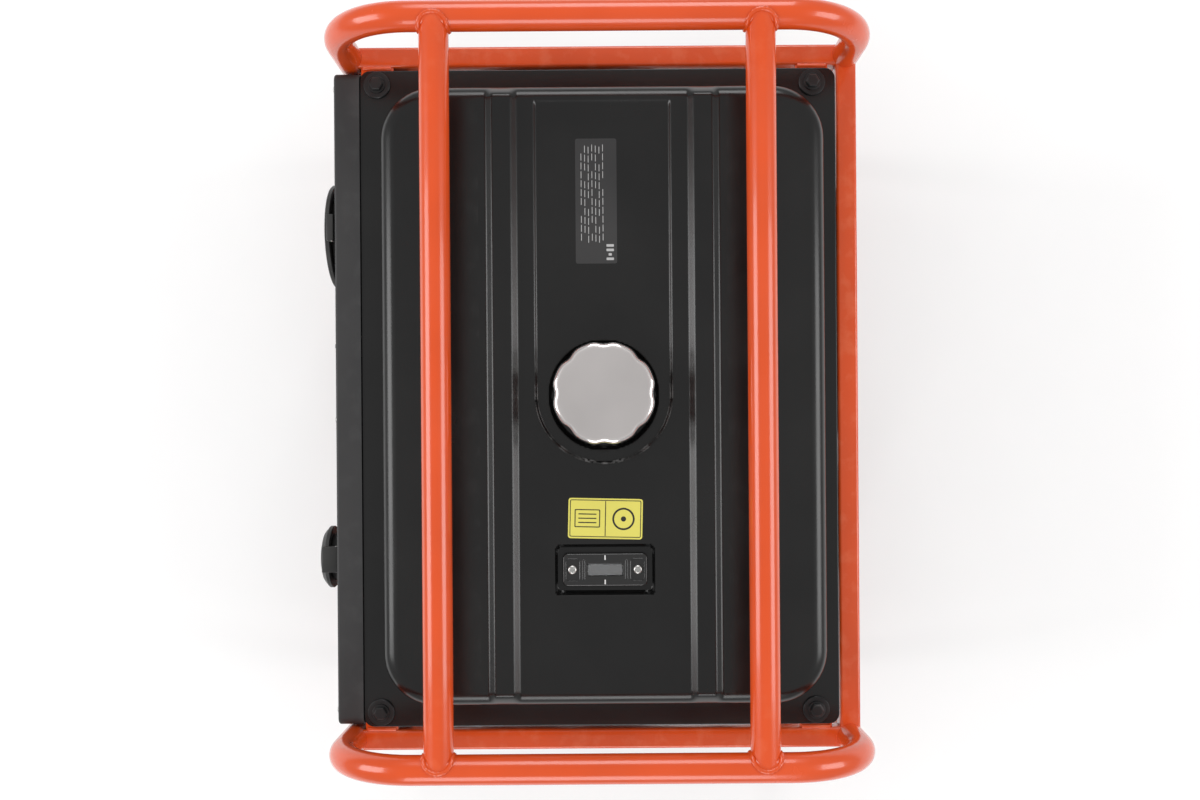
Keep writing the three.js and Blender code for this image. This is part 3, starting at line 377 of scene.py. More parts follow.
    @staticmethod
    def ring(
        piece: bpy.types.Object, axis: Axis, at: Point, count: int, name: str,
    ) -> list[bpy.types.Object]:
        """Spreads copies of a piece evenly round an axis.

        Args:
            piece: the first one, which is kept.
            axis: what they stand round.
            at: a point on that axis.
            count: how many there are in all.
            name: the start of each copy's name.

        Returns:
            All of them.
        """
        middle = Vector(at)
        everyone = [piece]
        for index in range(1, count):
            spin = Matrix.Rotation(2 * math.pi * index / count, 4, axis.direction)
            matrix = Matrix.Translation(middle) @ spin @ Matrix.Translation(-middle)
            everyone.append(Bench.copy(piece, f"{name}_{index}", matrix))
        return everyone


# ------------------------------------------------------------------ finishes
def group_of(name: str, inputs: dict[str, float], outputs: Sequence[str]) -> bpy.types.NodeTree:
    """Starts a shader node group.

    Args:
        name: of the group.
        inputs: each number it takes, and its usual value.
        outputs: the names of what it gives.

    Returns:
        The group with its input and output nodes.
    """
    tree = bpy.data.node_groups.new(name, "ShaderNodeTree")
    for socket, value in inputs.items():
        made = tree.interface.new_socket(socket, in_out="INPUT", socket_type="NodeSocketFloat")
        made.default_value = value
    for socket in outputs:
        tree.interface.new_socket(socket, in_out="OUTPUT", socket_type="NodeSocketFloat")
    tree.nodes.new("NodeGroupInput").name = "in"
    tree.nodes.new("NodeGroupOutput").name = "out"
    return tree


def maths(tree: bpy.types.NodeTree, operation: str, *values: object) -> bpy.types.NodeSocket:
    """Adds a Math node.

    Args:
        tree: where it goes.
        operation: what it does.
        values: its inputs, each a number or another node's output.

    Returns:
        Its output.
    """
    node = tree.nodes.new("ShaderNodeMath")
    node.operation = operation
    for socket, value in zip(node.inputs, values):
        if isinstance(value, bpy.types.NodeSocket):
            tree.links.new(value, socket)
        else:
            socket.default_value = value
    return node.outputs[0]


def noise_of(
    tree: bpy.types.NodeTree, scale: object, detail: float = 4, stretch: Point = (1, 1, 1),
) -> bpy.types.NodeSocket:
    """Adds a noise in object space.

    Args:
        tree: where it goes.
        scale: the noise's scale, a number or another node's output.
        detail: how many layers it has.
        stretch: scales the space along each axis first.

    Returns:
        Its value, around one half.
    """
    place = tree.nodes.new("ShaderNodeTexCoord")
    mapping = tree.nodes.new("ShaderNodeMapping")
    mapping.inputs["Scale"].default_value = stretch
    texture = tree.nodes.new("ShaderNodeTexNoise")
    texture.inputs["Detail"].default_value = detail
    if isinstance(scale, bpy.types.NodeSocket):
        tree.links.new(scale, texture.inputs["Scale"])
    else:
        texture.inputs["Scale"].default_value = scale
    tree.links.new(place.outputs["Object"], mapping.inputs["Vector"])
    tree.links.new(mapping.outputs["Vector"], texture.inputs["Vector"])
    return texture.outputs["Fac"]


class Effects:
    """The shader node groups that the finishes share, each made once."""

    _made: dict[str, bpy.types.NodeTree] = {}

    @classmethod
    def grain(cls) -> bpy.types.NodeTree:
        """Fine surface grain on a slow variation: gives Height and Tone."""
        if "grain" not in cls._made:
            tree = group_of("surface grain", {"Scale": 900.0, "Slow": 14.0}, ["Height", "Tone"])
            given, out = tree.nodes["in"], tree.nodes["out"]
            fine = noise_of(tree, given.outputs["Scale"], 3)
            slow = noise_of(tree, given.outputs["Slow"], 5)
            tree.links.new(maths(tree, "MULTIPLY_ADD", slow, 0.4, fine), out.inputs["Height"])
            tree.links.new(slow, out.inputs["Tone"])
            cls._made["grain"] = tree
        return cls._made["grain"]

    @classmethod
    def wear(cls) -> bpy.types.NodeTree:
        """Rubbed edges, broken up by noise: gives Mask."""
        if "wear" not in cls._made:
            tree = group_of("edge wear", {"Amount": 0.5, "Scale": 60.0}, ["Mask"])
            given, out = tree.nodes["in"], tree.nodes["out"]
            shape = tree.nodes.new("ShaderNodeNewGeometry")
            edge = maths(tree, "MULTIPLY", maths(tree, "SUBTRACT", shape.outputs["Pointiness"], 0.53), 9.0)
            edge = maths(tree, "MINIMUM", maths(tree, "MAXIMUM", edge, 0.0), 1.0)
            patch = noise_of(tree, given.outputs["Scale"], 6)
            patch = maths(tree, "MULTIPLY", maths(tree, "SUBTRACT", patch, 0.5), 6.0)
            patch = maths(tree, "MINIMUM", maths(tree, "MAXIMUM", patch, 0.0), 1.0)
            both = maths(tree, "MULTIPLY", edge, patch)
            tree.links.new(maths(tree, "MULTIPLY", both, given.outputs["Amount"]), out.inputs["Mask"])
            cls._made["wear"] = tree
        return cls._made["wear"]

    @classmethod
    def dust(cls) -> bpy.types.NodeTree:
        """Dust that settles on faces that look up: gives Mask."""
        if "dust" not in cls._made:
            tree = group_of("settled dust", {"Amount": 0.1, "Scale": 9.0}, ["Mask"])
            given, out = tree.nodes["in"], tree.nodes["out"]
            shape = tree.nodes.new("ShaderNodeNewGeometry")
            split = tree.nodes.new("ShaderNodeSeparateXYZ")
            tree.links.new(shape.outputs["Normal"], split.inputs[0])
            upward = maths(tree, "MAXIMUM", split.outputs["Z"], 0.0)
            cloud = noise_of(tree, given.outputs["Scale"], 7)
            cloud = maths(tree, "MAXIMUM", maths(tree, "SUBTRACT", cloud, 0.4), 0.0)
            both = maths(tree, "MULTIPLY", upward, maths(tree, "MULTIPLY", cloud, 3.0))
            tree.links.new(maths(tree, "MULTIPLY", both, given.outputs["Amount"]), out.inputs["Mask"])
            cls._made["dust"] = tree
        return cls._made["dust"]


@dataclass(frozen=True)
class Finish:
    """One finish: its colour, gloss, grain, wear and dust."""

    name: str
    base: Colour
    rough: float = 0.5
    metal: float = 0.0
    vary: float = 0.12
    grain: float = 900.0
    bump: float = 0.05
    depth: float = 0.0003
    worn: Colour = (0.4, 0.4, 0.4)
    wear: float = 0.2
    dust: float = 0.05
    coat: float = 0.0
    clear: float = 0.0

    def material(self) -> bpy.types.Material:
        """Makes the material, or gives the one already made.

        Returns:
            The finish's node material.
        """
        ready = bpy.data.materials.get(self.name)
        if ready:
            return ready
        made = bpy.data.materials.new(self.name)
        made.use_nodes = True
        tree = made.node_tree
        shader = tree.nodes["Principled BSDF"]
        shader.inputs["Metallic"].default_value = self.metal
        shader.inputs["Coat Weight"].default_value = self.coat
        shader.inputs["Coat Roughness"].default_value = 0.08
        shader.inputs["Transmission Weight"].default_value = self.clear
        surface = self._group(tree, Effects.grain(), {"Scale": self.grain})
        wear = self._group(tree, Effects.wear(), {"Amount": self.wear})
        dust = self._group(tree, Effects.dust(), {"Amount": self.dust})
        darker = tuple(channel * (1 - self.vary) for channel in self.base)
        lighter = tuple(min(channel * (1 + self.vary), 1) for channel in self.base)
        colour = self._mix(tree, surface.outputs["Tone"], darker, lighter)
        colour = self._mix(tree, wear.outputs["Mask"], colour, self.worn)
        colour = self._mix(tree, dust.outputs["Mask"], colour, (0.42, 0.40, 0.37))
        tree.links.new(colour, shader.inputs["Base Color"])
        spread = maths(tree, "MULTIPLY_ADD", surface.outputs["Tone"], 0.16, self.rough - 0.08)
        spread = maths(tree, "ADD", spread, maths(tree, "MULTIPLY", dust.outputs["Mask"], 0.5))
        tree.links.new(spread, shader.inputs["Roughness"])
        bump = tree.nodes.new("ShaderNodeBump")
        bump.inputs["Strength"].default_value = self.bump
        bump.inputs["Distance"].default_value = self.depth
        tree.links.new(surface.outputs["Height"], bump.inputs["Height"])
        tree.links.new(bump.outputs["Normal"], shader.inputs["Normal"])
        return made

    @staticmethod
    def _group(
        tree: bpy.types.NodeTree, group: bpy.types.NodeTree, values: dict[str, float],
    ) -> bpy.types.Node:
        """Places a shared group in a material with this finish's values."""
        node = tree.nodes.new("ShaderNodeGroup")
        node.node_tree = group
        for socket, value in values.items():
            node.inputs[socket].default_value = value
        return node

    @staticmethod
    def _mix(
        tree: bpy.types.NodeTree, factor: bpy.types.NodeSocket, low: object, high: object,
    ) -> bpy.types.NodeSocket:
        """Mixes two colours, each given as numbers or as a node's output."""
        node = tree.nodes.new("ShaderNodeMix")
        node.data_type = "RGBA"
        tree.links.new(factor, node.inputs["Factor"])
        for socket, value in ((node.inputs[6], low), (node.inputs[7], high)):
            if isinstance(value, bpy.types.NodeSocket):
                tree.links.new(value, socket)
            else:
                socket.default_value = (*value, 1)
        return node.outputs[2]


ORANGE = Finish(
    "orange powder coat", (0.68, 0.070, 0.005), 0.24, bump=0.06, grain=420, coat=0.45,
    worn=(0.9, 0.3, 0.15), wear=0.25, dust=0.02,
)
TANK_BLACK = Finish(
    "satin black coat", (0.005, 0.005, 0.005), 0.24, bump=0.10, grain=700, vary=0.2,
    worn=(0.10, 0.10, 0.10), dust=0.008,
)
PANEL_GREY = Finish(
    "panel powder coat", (0.025, 0.025, 0.026), 0.55, bump=0.35, grain=1200, vary=0.15,
    worn=(0.18, 0.18, 0.18), dust=0.025,
)
PLASTIC = Finish(
    "black moulded plastic", (0.012, 0.012, 0.012), 0.45, bump=0.25, grain=1500, worn=(0.06, 0.06, 0.06),
    dust=0.05,
)
RUBBER = Finish(
    "black rubber", (0.010, 0.010, 0.010), 0.80, bump=0.4, grain=800, worn=(0.05, 0.05, 0.05), dust=0.12
)
CAP_TOP = Finish(
    "satin plated steel", (0.62, 0.59, 0.58), 0.42, 0.85, vary=0.05, bump=0.05, grain=2200,
    worn=(0.8, 0.8, 0.8), dust=0.0,
)
CAP_RIM = Finish(
    "polished plated steel", (0.80, 0.78, 0.77), 0.12, 1.0, vary=0.03, bump=0.02, worn=(0.9, 0.9, 0.9),
    dust=0.0,
)
CAST = Finish(
    "cast aluminium", (0.42, 0.43, 0.44), 0.52, 0.85, bump=0.5, grain=500, depth=0.0006,
    worn=(0.75, 0.75, 0.76), wear=0.5, dust=0.12,
)
HEAT_BLACK = Finish(
    "heat-proof black", (0.028, 0.027, 0.026), 0.6, 0.3, bump=0.35, grain=600, worn=(0.20, 0.16, 0.13),
    wear=0.4, dust=0.10,
)
ZINC = Finish(
    "zinc plate", (0.62, 0.62, 0.60), 0.30, 1.0, bump=0.1, grain=1100, worn=(0.8, 0.8, 0.8), dust=0.02
)
BOLT_BLACK = Finish(
    "blackened steel", (0.022, 0.022, 0.023), 0.35, 0.6, bump=0.15, worn=(0.25, 0.25, 0.25), wear=0.4,
    dust=0.03,
)
WHITE = Finish("white print", (0.75, 0.75, 0.74), 0.5, vary=0.04, wear=0.0, dust=0.03)
YELLOW = Finish("yellow film", (0.74, 0.68, 0.13), 0.42, vary=0.04, bump=0.05, wear=0.0, dust=0.03)
INK = Finish("black print", (0.014, 0.014, 0.014), 0.45, wear=0.0, dust=0.02)
LABEL = Finish("dark label film", (0.030, 0.030, 0.031), 0.30, bump=0.03, wear=0.0, dust=0.03)
SILVER_INK = Finish("silver print", (0.55, 0.55, 0.55), 0.35, 0.4, wear=0.0, dust=0.02)
RED = Finish("red moulded plastic", (0.55, 0.02, 0.015), 0.35, bump=0.15, worn=(0.7, 0.2, 0.15), dust=0.02)
GREEN_LAMP = Finish("green lamp", (0.05, 0.45, 0.10), 0.15, bump=0.02, dust=0.0)
COPPER = Finish("varnished windings", (0.38, 0.12, 0.05), 0.35, 0.6, bump=0.6, grain=900, dust=0.05)
LAMINATION = Finish("laminated steel", (0.16, 0.16, 0.165), 0.42, 0.8, bump=0.3, grain=1800, dust=0.06)
CORK = Finish("sealed float foam", (0.30, 0.22, 0.12), 0.75, bump=0.5, grain=900, dust=0.0)
GAUGE_BLACK = Finish(
    "glossy black plastic", (0.010, 0.010, 0.010), 0.14, bump=0.03, wear=0.0, dust=0.01, coat=0.5
)
GLASS = Finish(
    "clear moulded lens", (0.92, 0.94, 0.95), 0.08, bump=0.01, vary=0.01, wear=0.0, dust=0.0, clear=0.9
)


def dress(piece: bpy.types.Object, finish: Finish, body: str = MACHINE, *nodes: str) -> bpy.types.Object:
    """Gives a new piece its finish, its body and the CAD nodes that it stands for.

    Args:
        piece: the new piece.
        finish: its finish.
        body: the CAD body that it moves with.
        nodes: the CAD nodes that it replaces.

    Returns:
        The same object.
    """
    piece.data.materials.clear()
    piece.data.materials.append(finish.material())
    if nodes:
        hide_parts(*nodes)
    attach(piece, body)
    log.info("%s: %d faces", piece.name, len(piece.data.polygons))
    return piece


def coat_node(node: str, finish: Finish) -> None:
    """Gives a CAD node that stays visible its finish."""
    shown = frame["nodes"][node]
    shown.data.materials.clear()
    shown.data.materials.append(finish.material())
    log.info("%s: CAD shape, %s", node, finish.name)


def tint(piece: bpy.types.Object, finish: Finish, test: Callable[[Vector, Vector], bool]) -> None:
    """Gives part of a dressed piece a second finish.

    Args:
        piece: the piece.
        finish: the other finish.
        test: takes a face's middle and normal and says whether it gets it.
    """
    piece.data.materials.append(finish.material())
    index = len(piece.data.materials) - 1
    for face in piece.data.polygons:
        if test(face.center, face.normal):
            face.material_index = index


def bolt(
    name: str, axis: Axis, at: Point, across: float, height: float, sense: int = 1,
) -> bpy.types.Object:
    """Makes a flanged hexagon bolt head that sits on a face.

    Args:
        name: the piece's name.
        axis: the direction of its shank.
        at: the point of the face under it, in metres.
        across: its width across corners, in millimetres.
        height: how far it stands out, in millimetres.
        sense: 1 if it stands out along the axis, -1 if against it.

    Returns:
        The head.
    """
    half = across / 2
    collar = [
        (half * 1.25, -0.5), (half * 1.3, 0.3), (half * 1.2, 0.25 * height), (half * 0.6, 0.3 * height)
    ]
    head = [(half, 0.2 * height), (half, 0.82 * height), (half * 0.84, height), (half * 0.5, height)]
    ring = Bench.turned(name, axis, at, [(r, s * sense) for r, s in collar], 24)
    hexagon = Bench.turned(name, axis, at, [(r, s * sense) for r, s in head], 6)
    return Bench.join(name, ring, hexagon)


def screw(name: str, axis: Axis, at: Point, diameter: float, sense: int = 1) -> bpy.types.Object:
    """Makes a pan head with a cross recess.

    Args:
        name: the piece's name.
        axis: the direction of its shank.
        at: the point of the face under it, in metres.
        diameter: of the head, in millimetres.
        sense: 1 if it stands out along the axis, -1 if against it.

    Returns:
        The head.
    """
    r = diameter / 2
    tall = diameter * 0.3
    shape = [(r, -0.3), (r, tall * 0.35), (r * 0.9, tall * 0.7), (r * 0.65, tall * 0.95), (r * 0.3, tall)]
    head = Bench.turned(name, axis, at, [(a, s * sense) for a, s in shape], 28)
    middle = Vector(at) + axis.direction * tall * sense * MM
    bars = []
    for other in Axis:
        if other is not axis:
            reach = (other.direction * r * 0.62 + axis.direction * tall * 0.55) * MM
            third = next(a for a in Axis if a not in (axis, other))
            reach += third.direction * diameter * 0.06 * MM
            bars.append(reach)
    for index, reach in enumerate(bars):
        Bench.cut(head, Bench.block(f"slot_{index}", middle - reach, middle + reach))
    return head


# ------------------------------------------------------------------ tubular frame
@dataclass
class TubularFrame:
    """The hoops, carrying bars, tank rails, base rails, beams, feet and rubber mounts."""

    bend: float = 75.0
    square_corner: float = 3.0
    bead: float = 2.4
    tab_width: float = 32.0
    tab_thick: float = 3.0
    beam_wall: float = 3.0

    def build(self) -> None:
        """Builds and dresses every piece of the frame."""
        for side in ("left", "right"):
            self.hoop(side)
            self.crossbar(side)
            for end in ("front", "rear"):
                self.foot(f"foot_{side}_{end}")
        for end in ("front", "rear"):
            self.straight(f"carrying_bar_{end}")
            self.straight(f"base_rail_{end}")
            for side in ("left", "right"):
                self.saddle_bead(f"carrying_bar_{end}", side)
                self.saddle_bead(f"base_rail_{end}", side)
        self.rear_rail()
        for name in ("alternator", "engine"):
            self.beam(f"base_beam_{name}")
            for end in ("front", "rear"):
                self.rubber_mount(f"{name}_mount_{end}")

    def hoop(self, side: str) -> None:
        """Bends one hoop and plugs its two open ends.

        Args:
            side: left or right.
        """
        low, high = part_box(f"hoop_{side}")
        radius = (high.x - low.x) / 2
        x = (low.x + high.x) / 2
        front, back, top = low.y + radius, high.y - radius, high.z - radius
        corners = [(x, front, low.z), (x, front, top), (x, back, top), (x, back, low.z)]
        made = Bench.tube(f"hoop_tube_{side}", corners, radius / MM, self.bend, 56, 20)
        dress(made, ORANGE, MACHINE, f"hoop_{side}")
        for y, end in ((front, "front"), (back, "rear")):
            profile = [
                (radius / MM - 3, -6), (radius / MM - 1.2, -5), (radius / MM - 1.0, -0.4),
                (radius / MM - 4, 4),
            ]
            plug = Bench.turned(f"hoop_plug_{side}_{end}", Axis.Z, (x, y, low.z), profile, 40)
            dress(plug, PLASTIC)

    def straight(self, node: str) -> None:
        """Makes a straight round tube between the hoops' planes.

        Args:
            node: the CAD node that it stands for.
        """
        low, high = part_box(node)
        radius = (high.z - low.z) / 2
        reach = centre("hoop_right").x
        at = (0, (low.y + high.y) / 2, high.z - radius)
        half = reach / MM
        profile = [
            (radius / MM, -half), (radius / MM, -half / 2), (radius / MM, half / 2), (radius / MM, half)
        ]
        dress(Bench.turned(f"{node}_tube", Axis.X, at, profile, 56), ORANGE, MACHINE, node)

    def saddle_bead(self, node: str, side: str) -> None:
        """Runs the weld bead where a straight tube meets a hoop.

        Args:
            node: the straight tube.
            side: the hoop's side.
        """
        low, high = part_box(node)
        radius = (high.z - low.z) / 2
        sense = 1 if side == "right" else -1
        x = centre(f"hoop_{side}").x
        at = Vector((x, (low.y + high.y) / 2, high.z - radius))
        Bench.clear()
        bpy.ops.mesh.primitive_torus_add(
            major_radius=radius,
            minor_radius=self.bead * MM,
            major_segments=72,
            minor_segments=10,
            location=at,
            rotation=Axis.X.turn,
        )
        bead = Bench.settle(bpy.context.object, f"weld_{node}_{side}", 180)
        for vert in bead.data.vertices:
            away = Vector((0, vert.co.y - at.y, vert.co.z - at.z))
            across = away.y / max(away.length, 1e-6)
            ripple = 0.35 * MM * math.sin(26 * math.atan2(away.z, away.y))
            arch = radius * (1 - math.sqrt(max(0.0, 1 - across**2)))
            vert.co += away.normalized() * (ripple - 0.5 * MM)
            vert.co.x -= sense * arch
            rise = math.sqrt(max(0.0, radius**2 - arch**2)) - radius * abs(away.z) / max(away.length, 1e-6)
            vert.co.z += math.copysign(max(0.0, rise), away.z)
        dress(bead, ORANGE)

    def crossbar(self, side: str) -> None:
        """Makes a tank crossbar with its two tabs and the beads on its ends.

        Args:
            side: left or right.
        """
        node = f"tank_crossbar_{side}"
        low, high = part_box(node)
        sense = 1 if side == "right" else -1
        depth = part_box("tank_rail_rear")
        width = depth[1].z - depth[0].z
        outer, inner = (high.x, high.x - width) if sense > 0 else (low.x, low.x + width)
        front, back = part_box(f"hoop_{side}")
        reach = (front.y + 10 * MM, back.y - 10 * MM)
        lows = (min(outer, inner), reach[0], high.z - width)
        highs = (max(outer, inner), reach[1], high.z)
        bar = Bench.block(f"{node}_bar", lows, highs, self.square_corner, Axis.Y, 0, 5)
        tabs = []
        for end in ("front", "rear"):
            at = centre(f"tank_bolt_{side}_{end}")
            half = self.tab_width / 2 * MM
            top = high.z - 2.3 * MM
            tip = low.x if sense > 0 else high.x
            root = inner + sense * 2 * MM
            plate = Bench.block(
                f"{node}_tab_{end}",
                (min(tip, root), at.y - half, top - self.tab_thick * MM),
                (max(tip, root), at.y + half, top),
                0,
                Axis.Z,
                0.8,
            )
            bead_at = (inner - sense * 0.5 * MM, at.y - half + 2 * MM, top + 0.2 * MM)
            bead = Bench.tube(
                f"{node}_bead_{end}",
                [bead_at, (bead_at[0], at.y + half - 2 * MM, bead_at[2])],
                self.bead * 0.8,
                0,
                12,
            )
            tabs += [plate, bead]
        dress(Bench.join(f"{node}_bar", bar, *tabs), ORANGE, MACHINE, node)

    def rear_rail(self) -> None:
        """Makes the square rail behind the tank."""
        low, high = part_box("tank_rail_rear")
        ends = (centre("hoop_left").x, centre("hoop_right").x)
        rail = Bench.block(
            "tank_rail_rear_bar",
            (ends[0] + 4 * MM, low.y, low.z),
            (ends[1] - 4 * MM, high.y, high.z),
            self.square_corner,
            Axis.X,
            0,
            5,
        )
        dress(rail, ORANGE, MACHINE, "tank_rail_rear")

    def beam(self, node: str) -> None:
        """Makes an upturned channel beam with the rounded folds of pressed steel.

        Args:
            node: the CAD node that it stands for.
        """
        low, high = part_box(node)
        wall = self.beam_wall * MM
        beam = Bench.block(f"{node}_channel", low, high, 5, Axis.Y, 0, 5)
        inside_low = (low.x + wall, low.y - wall, low.z - wall)
        inside_high = (high.x - wall, high.y + wall, high.z - wall)
        Bench.cut(beam, Bench.block("inside", inside_low, inside_high, 2, Axis.Y))
        dress(beam, ORANGE, MACHINE, node)

    def foot(self, node: str) -> None:
        """Makes a ribbed rubber foot.

        Args:
            node: the CAD node that it stands for.
        """
        low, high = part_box(node)
        at = (*centre(node).xy, low.z)
        wide = (high.y - low.y) / 2 / MM
        tall = (high.z - low.z) / MM
        profile = [(wide - 3, 0), (wide - 1, 0.6), (wide, 2.2), (wide, 5), (wide - 2, 6), (wide - 1, 8)]
        profile += [
            (wide - 1, 12), (wide - 2.5, 13.5), (wide - 2, 16), (wide - 3, tall - 9), (wide - 4, tall - 8)
        ]
        dress(Bench.turned(f"{node}_rubber", Axis.Z, at, profile, 48), RUBBER, MACHINE, node)

    def rubber_mount(self, node: str) -> None:
        """Makes a bonded rubber mount between two steel plates.

        Args:
            node: the CAD node that it stands for.
        """
        low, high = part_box(node)
        at = (*centre(node).xy, low.z)
        tall = (high.z - low.z) / MM
        profile = [(17.5, 3), (18.5, 4), (15.5, tall / 2), (18.5, tall - 4), (17.5, tall - 3)]
        core = Bench.turned(f"{node}_rubber", Axis.Z, at, profile, 48)
        dress(core, RUBBER, MACHINE, node)
        for name, base in (("lower", 0.0), ("upper", tall - 3)):
            plate = [(18.4, base), (18.9, base + 0.5), (18.9, base + 2.5), (18.4, base + 3)]
            dress(Bench.turned(f"{node}_plate_{name}", Axis.Z, at, plate, 48), ZINC)


# ------------------------------------------------------------------ fuel tank
@dataclass
class FuelTank:
    """The pressed tank with its cap, gauge, bolts and labels."""

    rise: float = 52.0
    body: tuple[float, float] = (588.0, 422.0)
    corner: float = 50.0
    edge: float = 15.0
    sheet: float = 2.0
    rib_offset: float = 95.0
    rib_half: float = 15.0
    rib_height: float = 5.0
    rib_slope: float = 6.5
    channel_half: float = 65.5
    channel_depth: float = 2.6
    dish_radius: float = 52.5
    dish_depth: float = 3.6
    pocket: tuple[float, float, float] = (48.0, 95.0, 10.0)
    patch: tuple[float, float] = (293.4, 118.0)
    scallops: int = 8
    scallop_depth: float = 2.4
    middle: Vector = field(default_factory=Vector)
    top: float = 0.0
    deck: float = 0.0

    def __post_init__(self) -> None:
        """Takes the tank's place from the CAD nodes."""
        self.middle = centre("fuel_cap")
        self.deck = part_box("tank_rail_rear")[1].z
        self.top = self.deck + self.rise * MM

    def build(self) -> None:
        """Builds and dresses every piece of the tank."""
        self.upper_shell()
        self.pressing()
        self.lower_shell()
        self.neck()
        self.cap()
        self.gauge()
        self.notice()
        self.data_label()
        for side in ("left", "right"):
            for end in ("front", "rear"):
                self.corner_bolt(side, end)
        coat_node("fuel_cap_seal", RUBBER)

    def _slab(self, name: str, size: Point, low: float, high: float, corner: float) -> bpy.types.Object:
        """Makes a block with round upright corners, centred on the tank."""
        half = Vector((size[0] / 2 * MM, size[1] / 2 * MM, 0))
        at = Vector((self.middle.x, self.middle.y, 0))
        lows = at - half + Vector((0, 0, low))
        highs = at + half + Vector((0, 0, high))
        return Bench.block(name, lows, highs, corner, Axis.Z, 0, 12)

    @staticmethod
    def _round_rim(piece: bpy.types.Object, level: float, radius: float) -> None:
        """Rounds the rim of a flat face that lies at one level."""
        Bench.pick_edges(piece, lambda a, b: abs(a.z - level) < 1e-5 and abs(b.z - level) < 1e-5)
        bpy.ops.mesh.bevel(offset=radius * MM, segments=8, affect="EDGES")
        bpy.ops.object.mode_set(mode="OBJECT")
        Bench.settle(piece, piece.name)

    def upper_shell(self) -> None:
        """Makes the flange and the raised body, which is open where the pressing lies."""
        low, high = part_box("tank_upper_shell")
        flange = Bench.block(
            "flange", (low.x, low.y, self.deck - self.sheet * MM), (high.x, high.y, self.deck), 10
        )
        Bench.soften(flange, 0.7, 3)
        body = self._slab("tank_body", self.body, self.deck - 1 * MM, self.top, self.corner)
        self._round_rim(body, self.top, self.edge)
        half = Vector((self.patch[0] - 0.2, self.patch[1] - 0.2, 0)) * MM
        at = Vector((self.middle.x, self.middle.y, self.top))
        room = Bench.block(
            "room", at - half - Vector((0, 0, 13.5 * MM)), at + half + Vector((0, 0, 5 * MM))
        )
        Bench.cut(body, room)
        fold = self._slab(
            "fold", [side + 5 for side in self.body], self.deck - 0.5 * MM, self.deck + 2.6 * MM,
            self.corner + 2.5,
        )
        self._round_rim(fold, self.deck + 2.6 * MM, 2.4)
        dress(Bench.join("tank_body_upper", body, flange, fold), TANK_BLACK, MACHINE, "tank_upper_shell")

    def _height(self, u: float, v: float) -> float:
        """Gives the pressing's height over the tank's flat top.

        Args:
            u: the place along X from the tank's middle, in millimetres.
            v: the place along Y, in millimetres.

        Returns:
            The height in millimetres.
        """
        height = 0.0
        for side in (-1, 1):
            away = self.rib_half - abs(v - side * self.rib_offset)
            fade = soft_step((self.patch[0] - 1 - abs(u)) / 12)
            height += self.rib_height * min(max(away / self.rib_slope, 0), 1) * fade
        inside = self.channel_half - (abs(v) if u < 0 else math.hypot(u, v))
        height -= self.channel_depth * soft_step(inside / 3.5) * soft_step((u + self.patch[0] - 13) / 6)
        height -= self.dish_depth * soft_step((self.dish_radius - math.hypot(u, v)) / 3.5)
        at = centre("gauge_housing")
        across = self.pocket[0] / 2 - abs(u - (at.x - self.middle.x) / MM)
        along = self.pocket[1] / 2 - abs(v)
        round_off = max(0.0, 6 - min(across, 6)) ** 2 + max(0.0, 6 - min(along, 6)) ** 2
        height -= self.pocket[2] * soft_step((6 - math.sqrt(round_off)) / 3)
        over = max(0.0, abs(u) - (self.body[0] / 2 - self.edge))
        return height - self.edge + math.sqrt(max(0.0, self.edge**2 - over**2))

    def pressing(self) -> None:
        """Presses ribs, the channel and the two recesses into a fine grid and closes it below."""
        Bench.clear()
        at = Vector((self.middle.x, self.middle.y, self.top))
        bpy.ops.mesh.primitive_grid_add(
            x_subdivisions=330,
            y_subdivisions=200,
            size=1,
            location=at,
        )
        sheet = bpy.context.object
        sheet.scale = (2 * self.patch[0] * MM, 2 * self.patch[1] * MM, 1)
        bpy.ops.object.transform_apply(location=True, rotation=True, scale=True)
        for vert in sheet.data.vertices:
            height = self._height((vert.co.x - at.x) / MM, (vert.co.y - at.y) / MM)
            vert.co.z += height * MM + 0.03 * MM
        bpy.ops.object.mode_set(mode="EDIT")
        bpy.ops.mesh.select_all(action="DESELECT")
        bpy.ops.mesh.select_mode(type="EDGE")
        bpy.ops.mesh.select_non_manifold()
        bpy.ops.mesh.extrude_region_move(TRANSFORM_OT_translate={"value": (0, 0, -12.5 * MM)})
        floor = Vector((at.x, at.y, at.z - 13.2 * MM))
        bpy.ops.transform.resize(value=(1, 1, 0), center_override=floor)
        bpy.ops.mesh.edge_face_add()
        bpy.ops.object.mode_set(mode="OBJECT")
        dress(Bench.settle(sheet, "tank_top_pressing"), TANK_BLACK)

    def lower_shell(self) -> None:
        """Makes the lower half with its seam rim."""
        low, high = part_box("tank_lower_shell")
        shell = self._slab("tank_body_lower", (576, 410), low.z, high.z, 66)
        self._round_rim(shell, low.z, self.edge)
        rim = Bench.block("rim", (low.x, low.y, high.z - self.sheet * MM), high, 72, Axis.Z, 0.6, 12)
        dress(Bench.join("tank_body_lower", shell, rim), TANK_BLACK, MACHINE, "tank_lower_shell")

    def neck(self) -> None:
        """Makes the filler neck as a short open cup."""
        at = (self.middle.x, self.middle.y, self.top)
        rise = (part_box("tank_upper_shell")[1].z - self.top) / MM
        profile = [
            (34, -4), (33, -2.6), (31, 0), (31, rise - 1), (30.5, rise), (28.5, rise), (28, rise - 1),
            (28, -2),
        ]
        dress(Bench.turned("filler_neck", Axis.Z, at, profile, 72), TANK_BLACK)

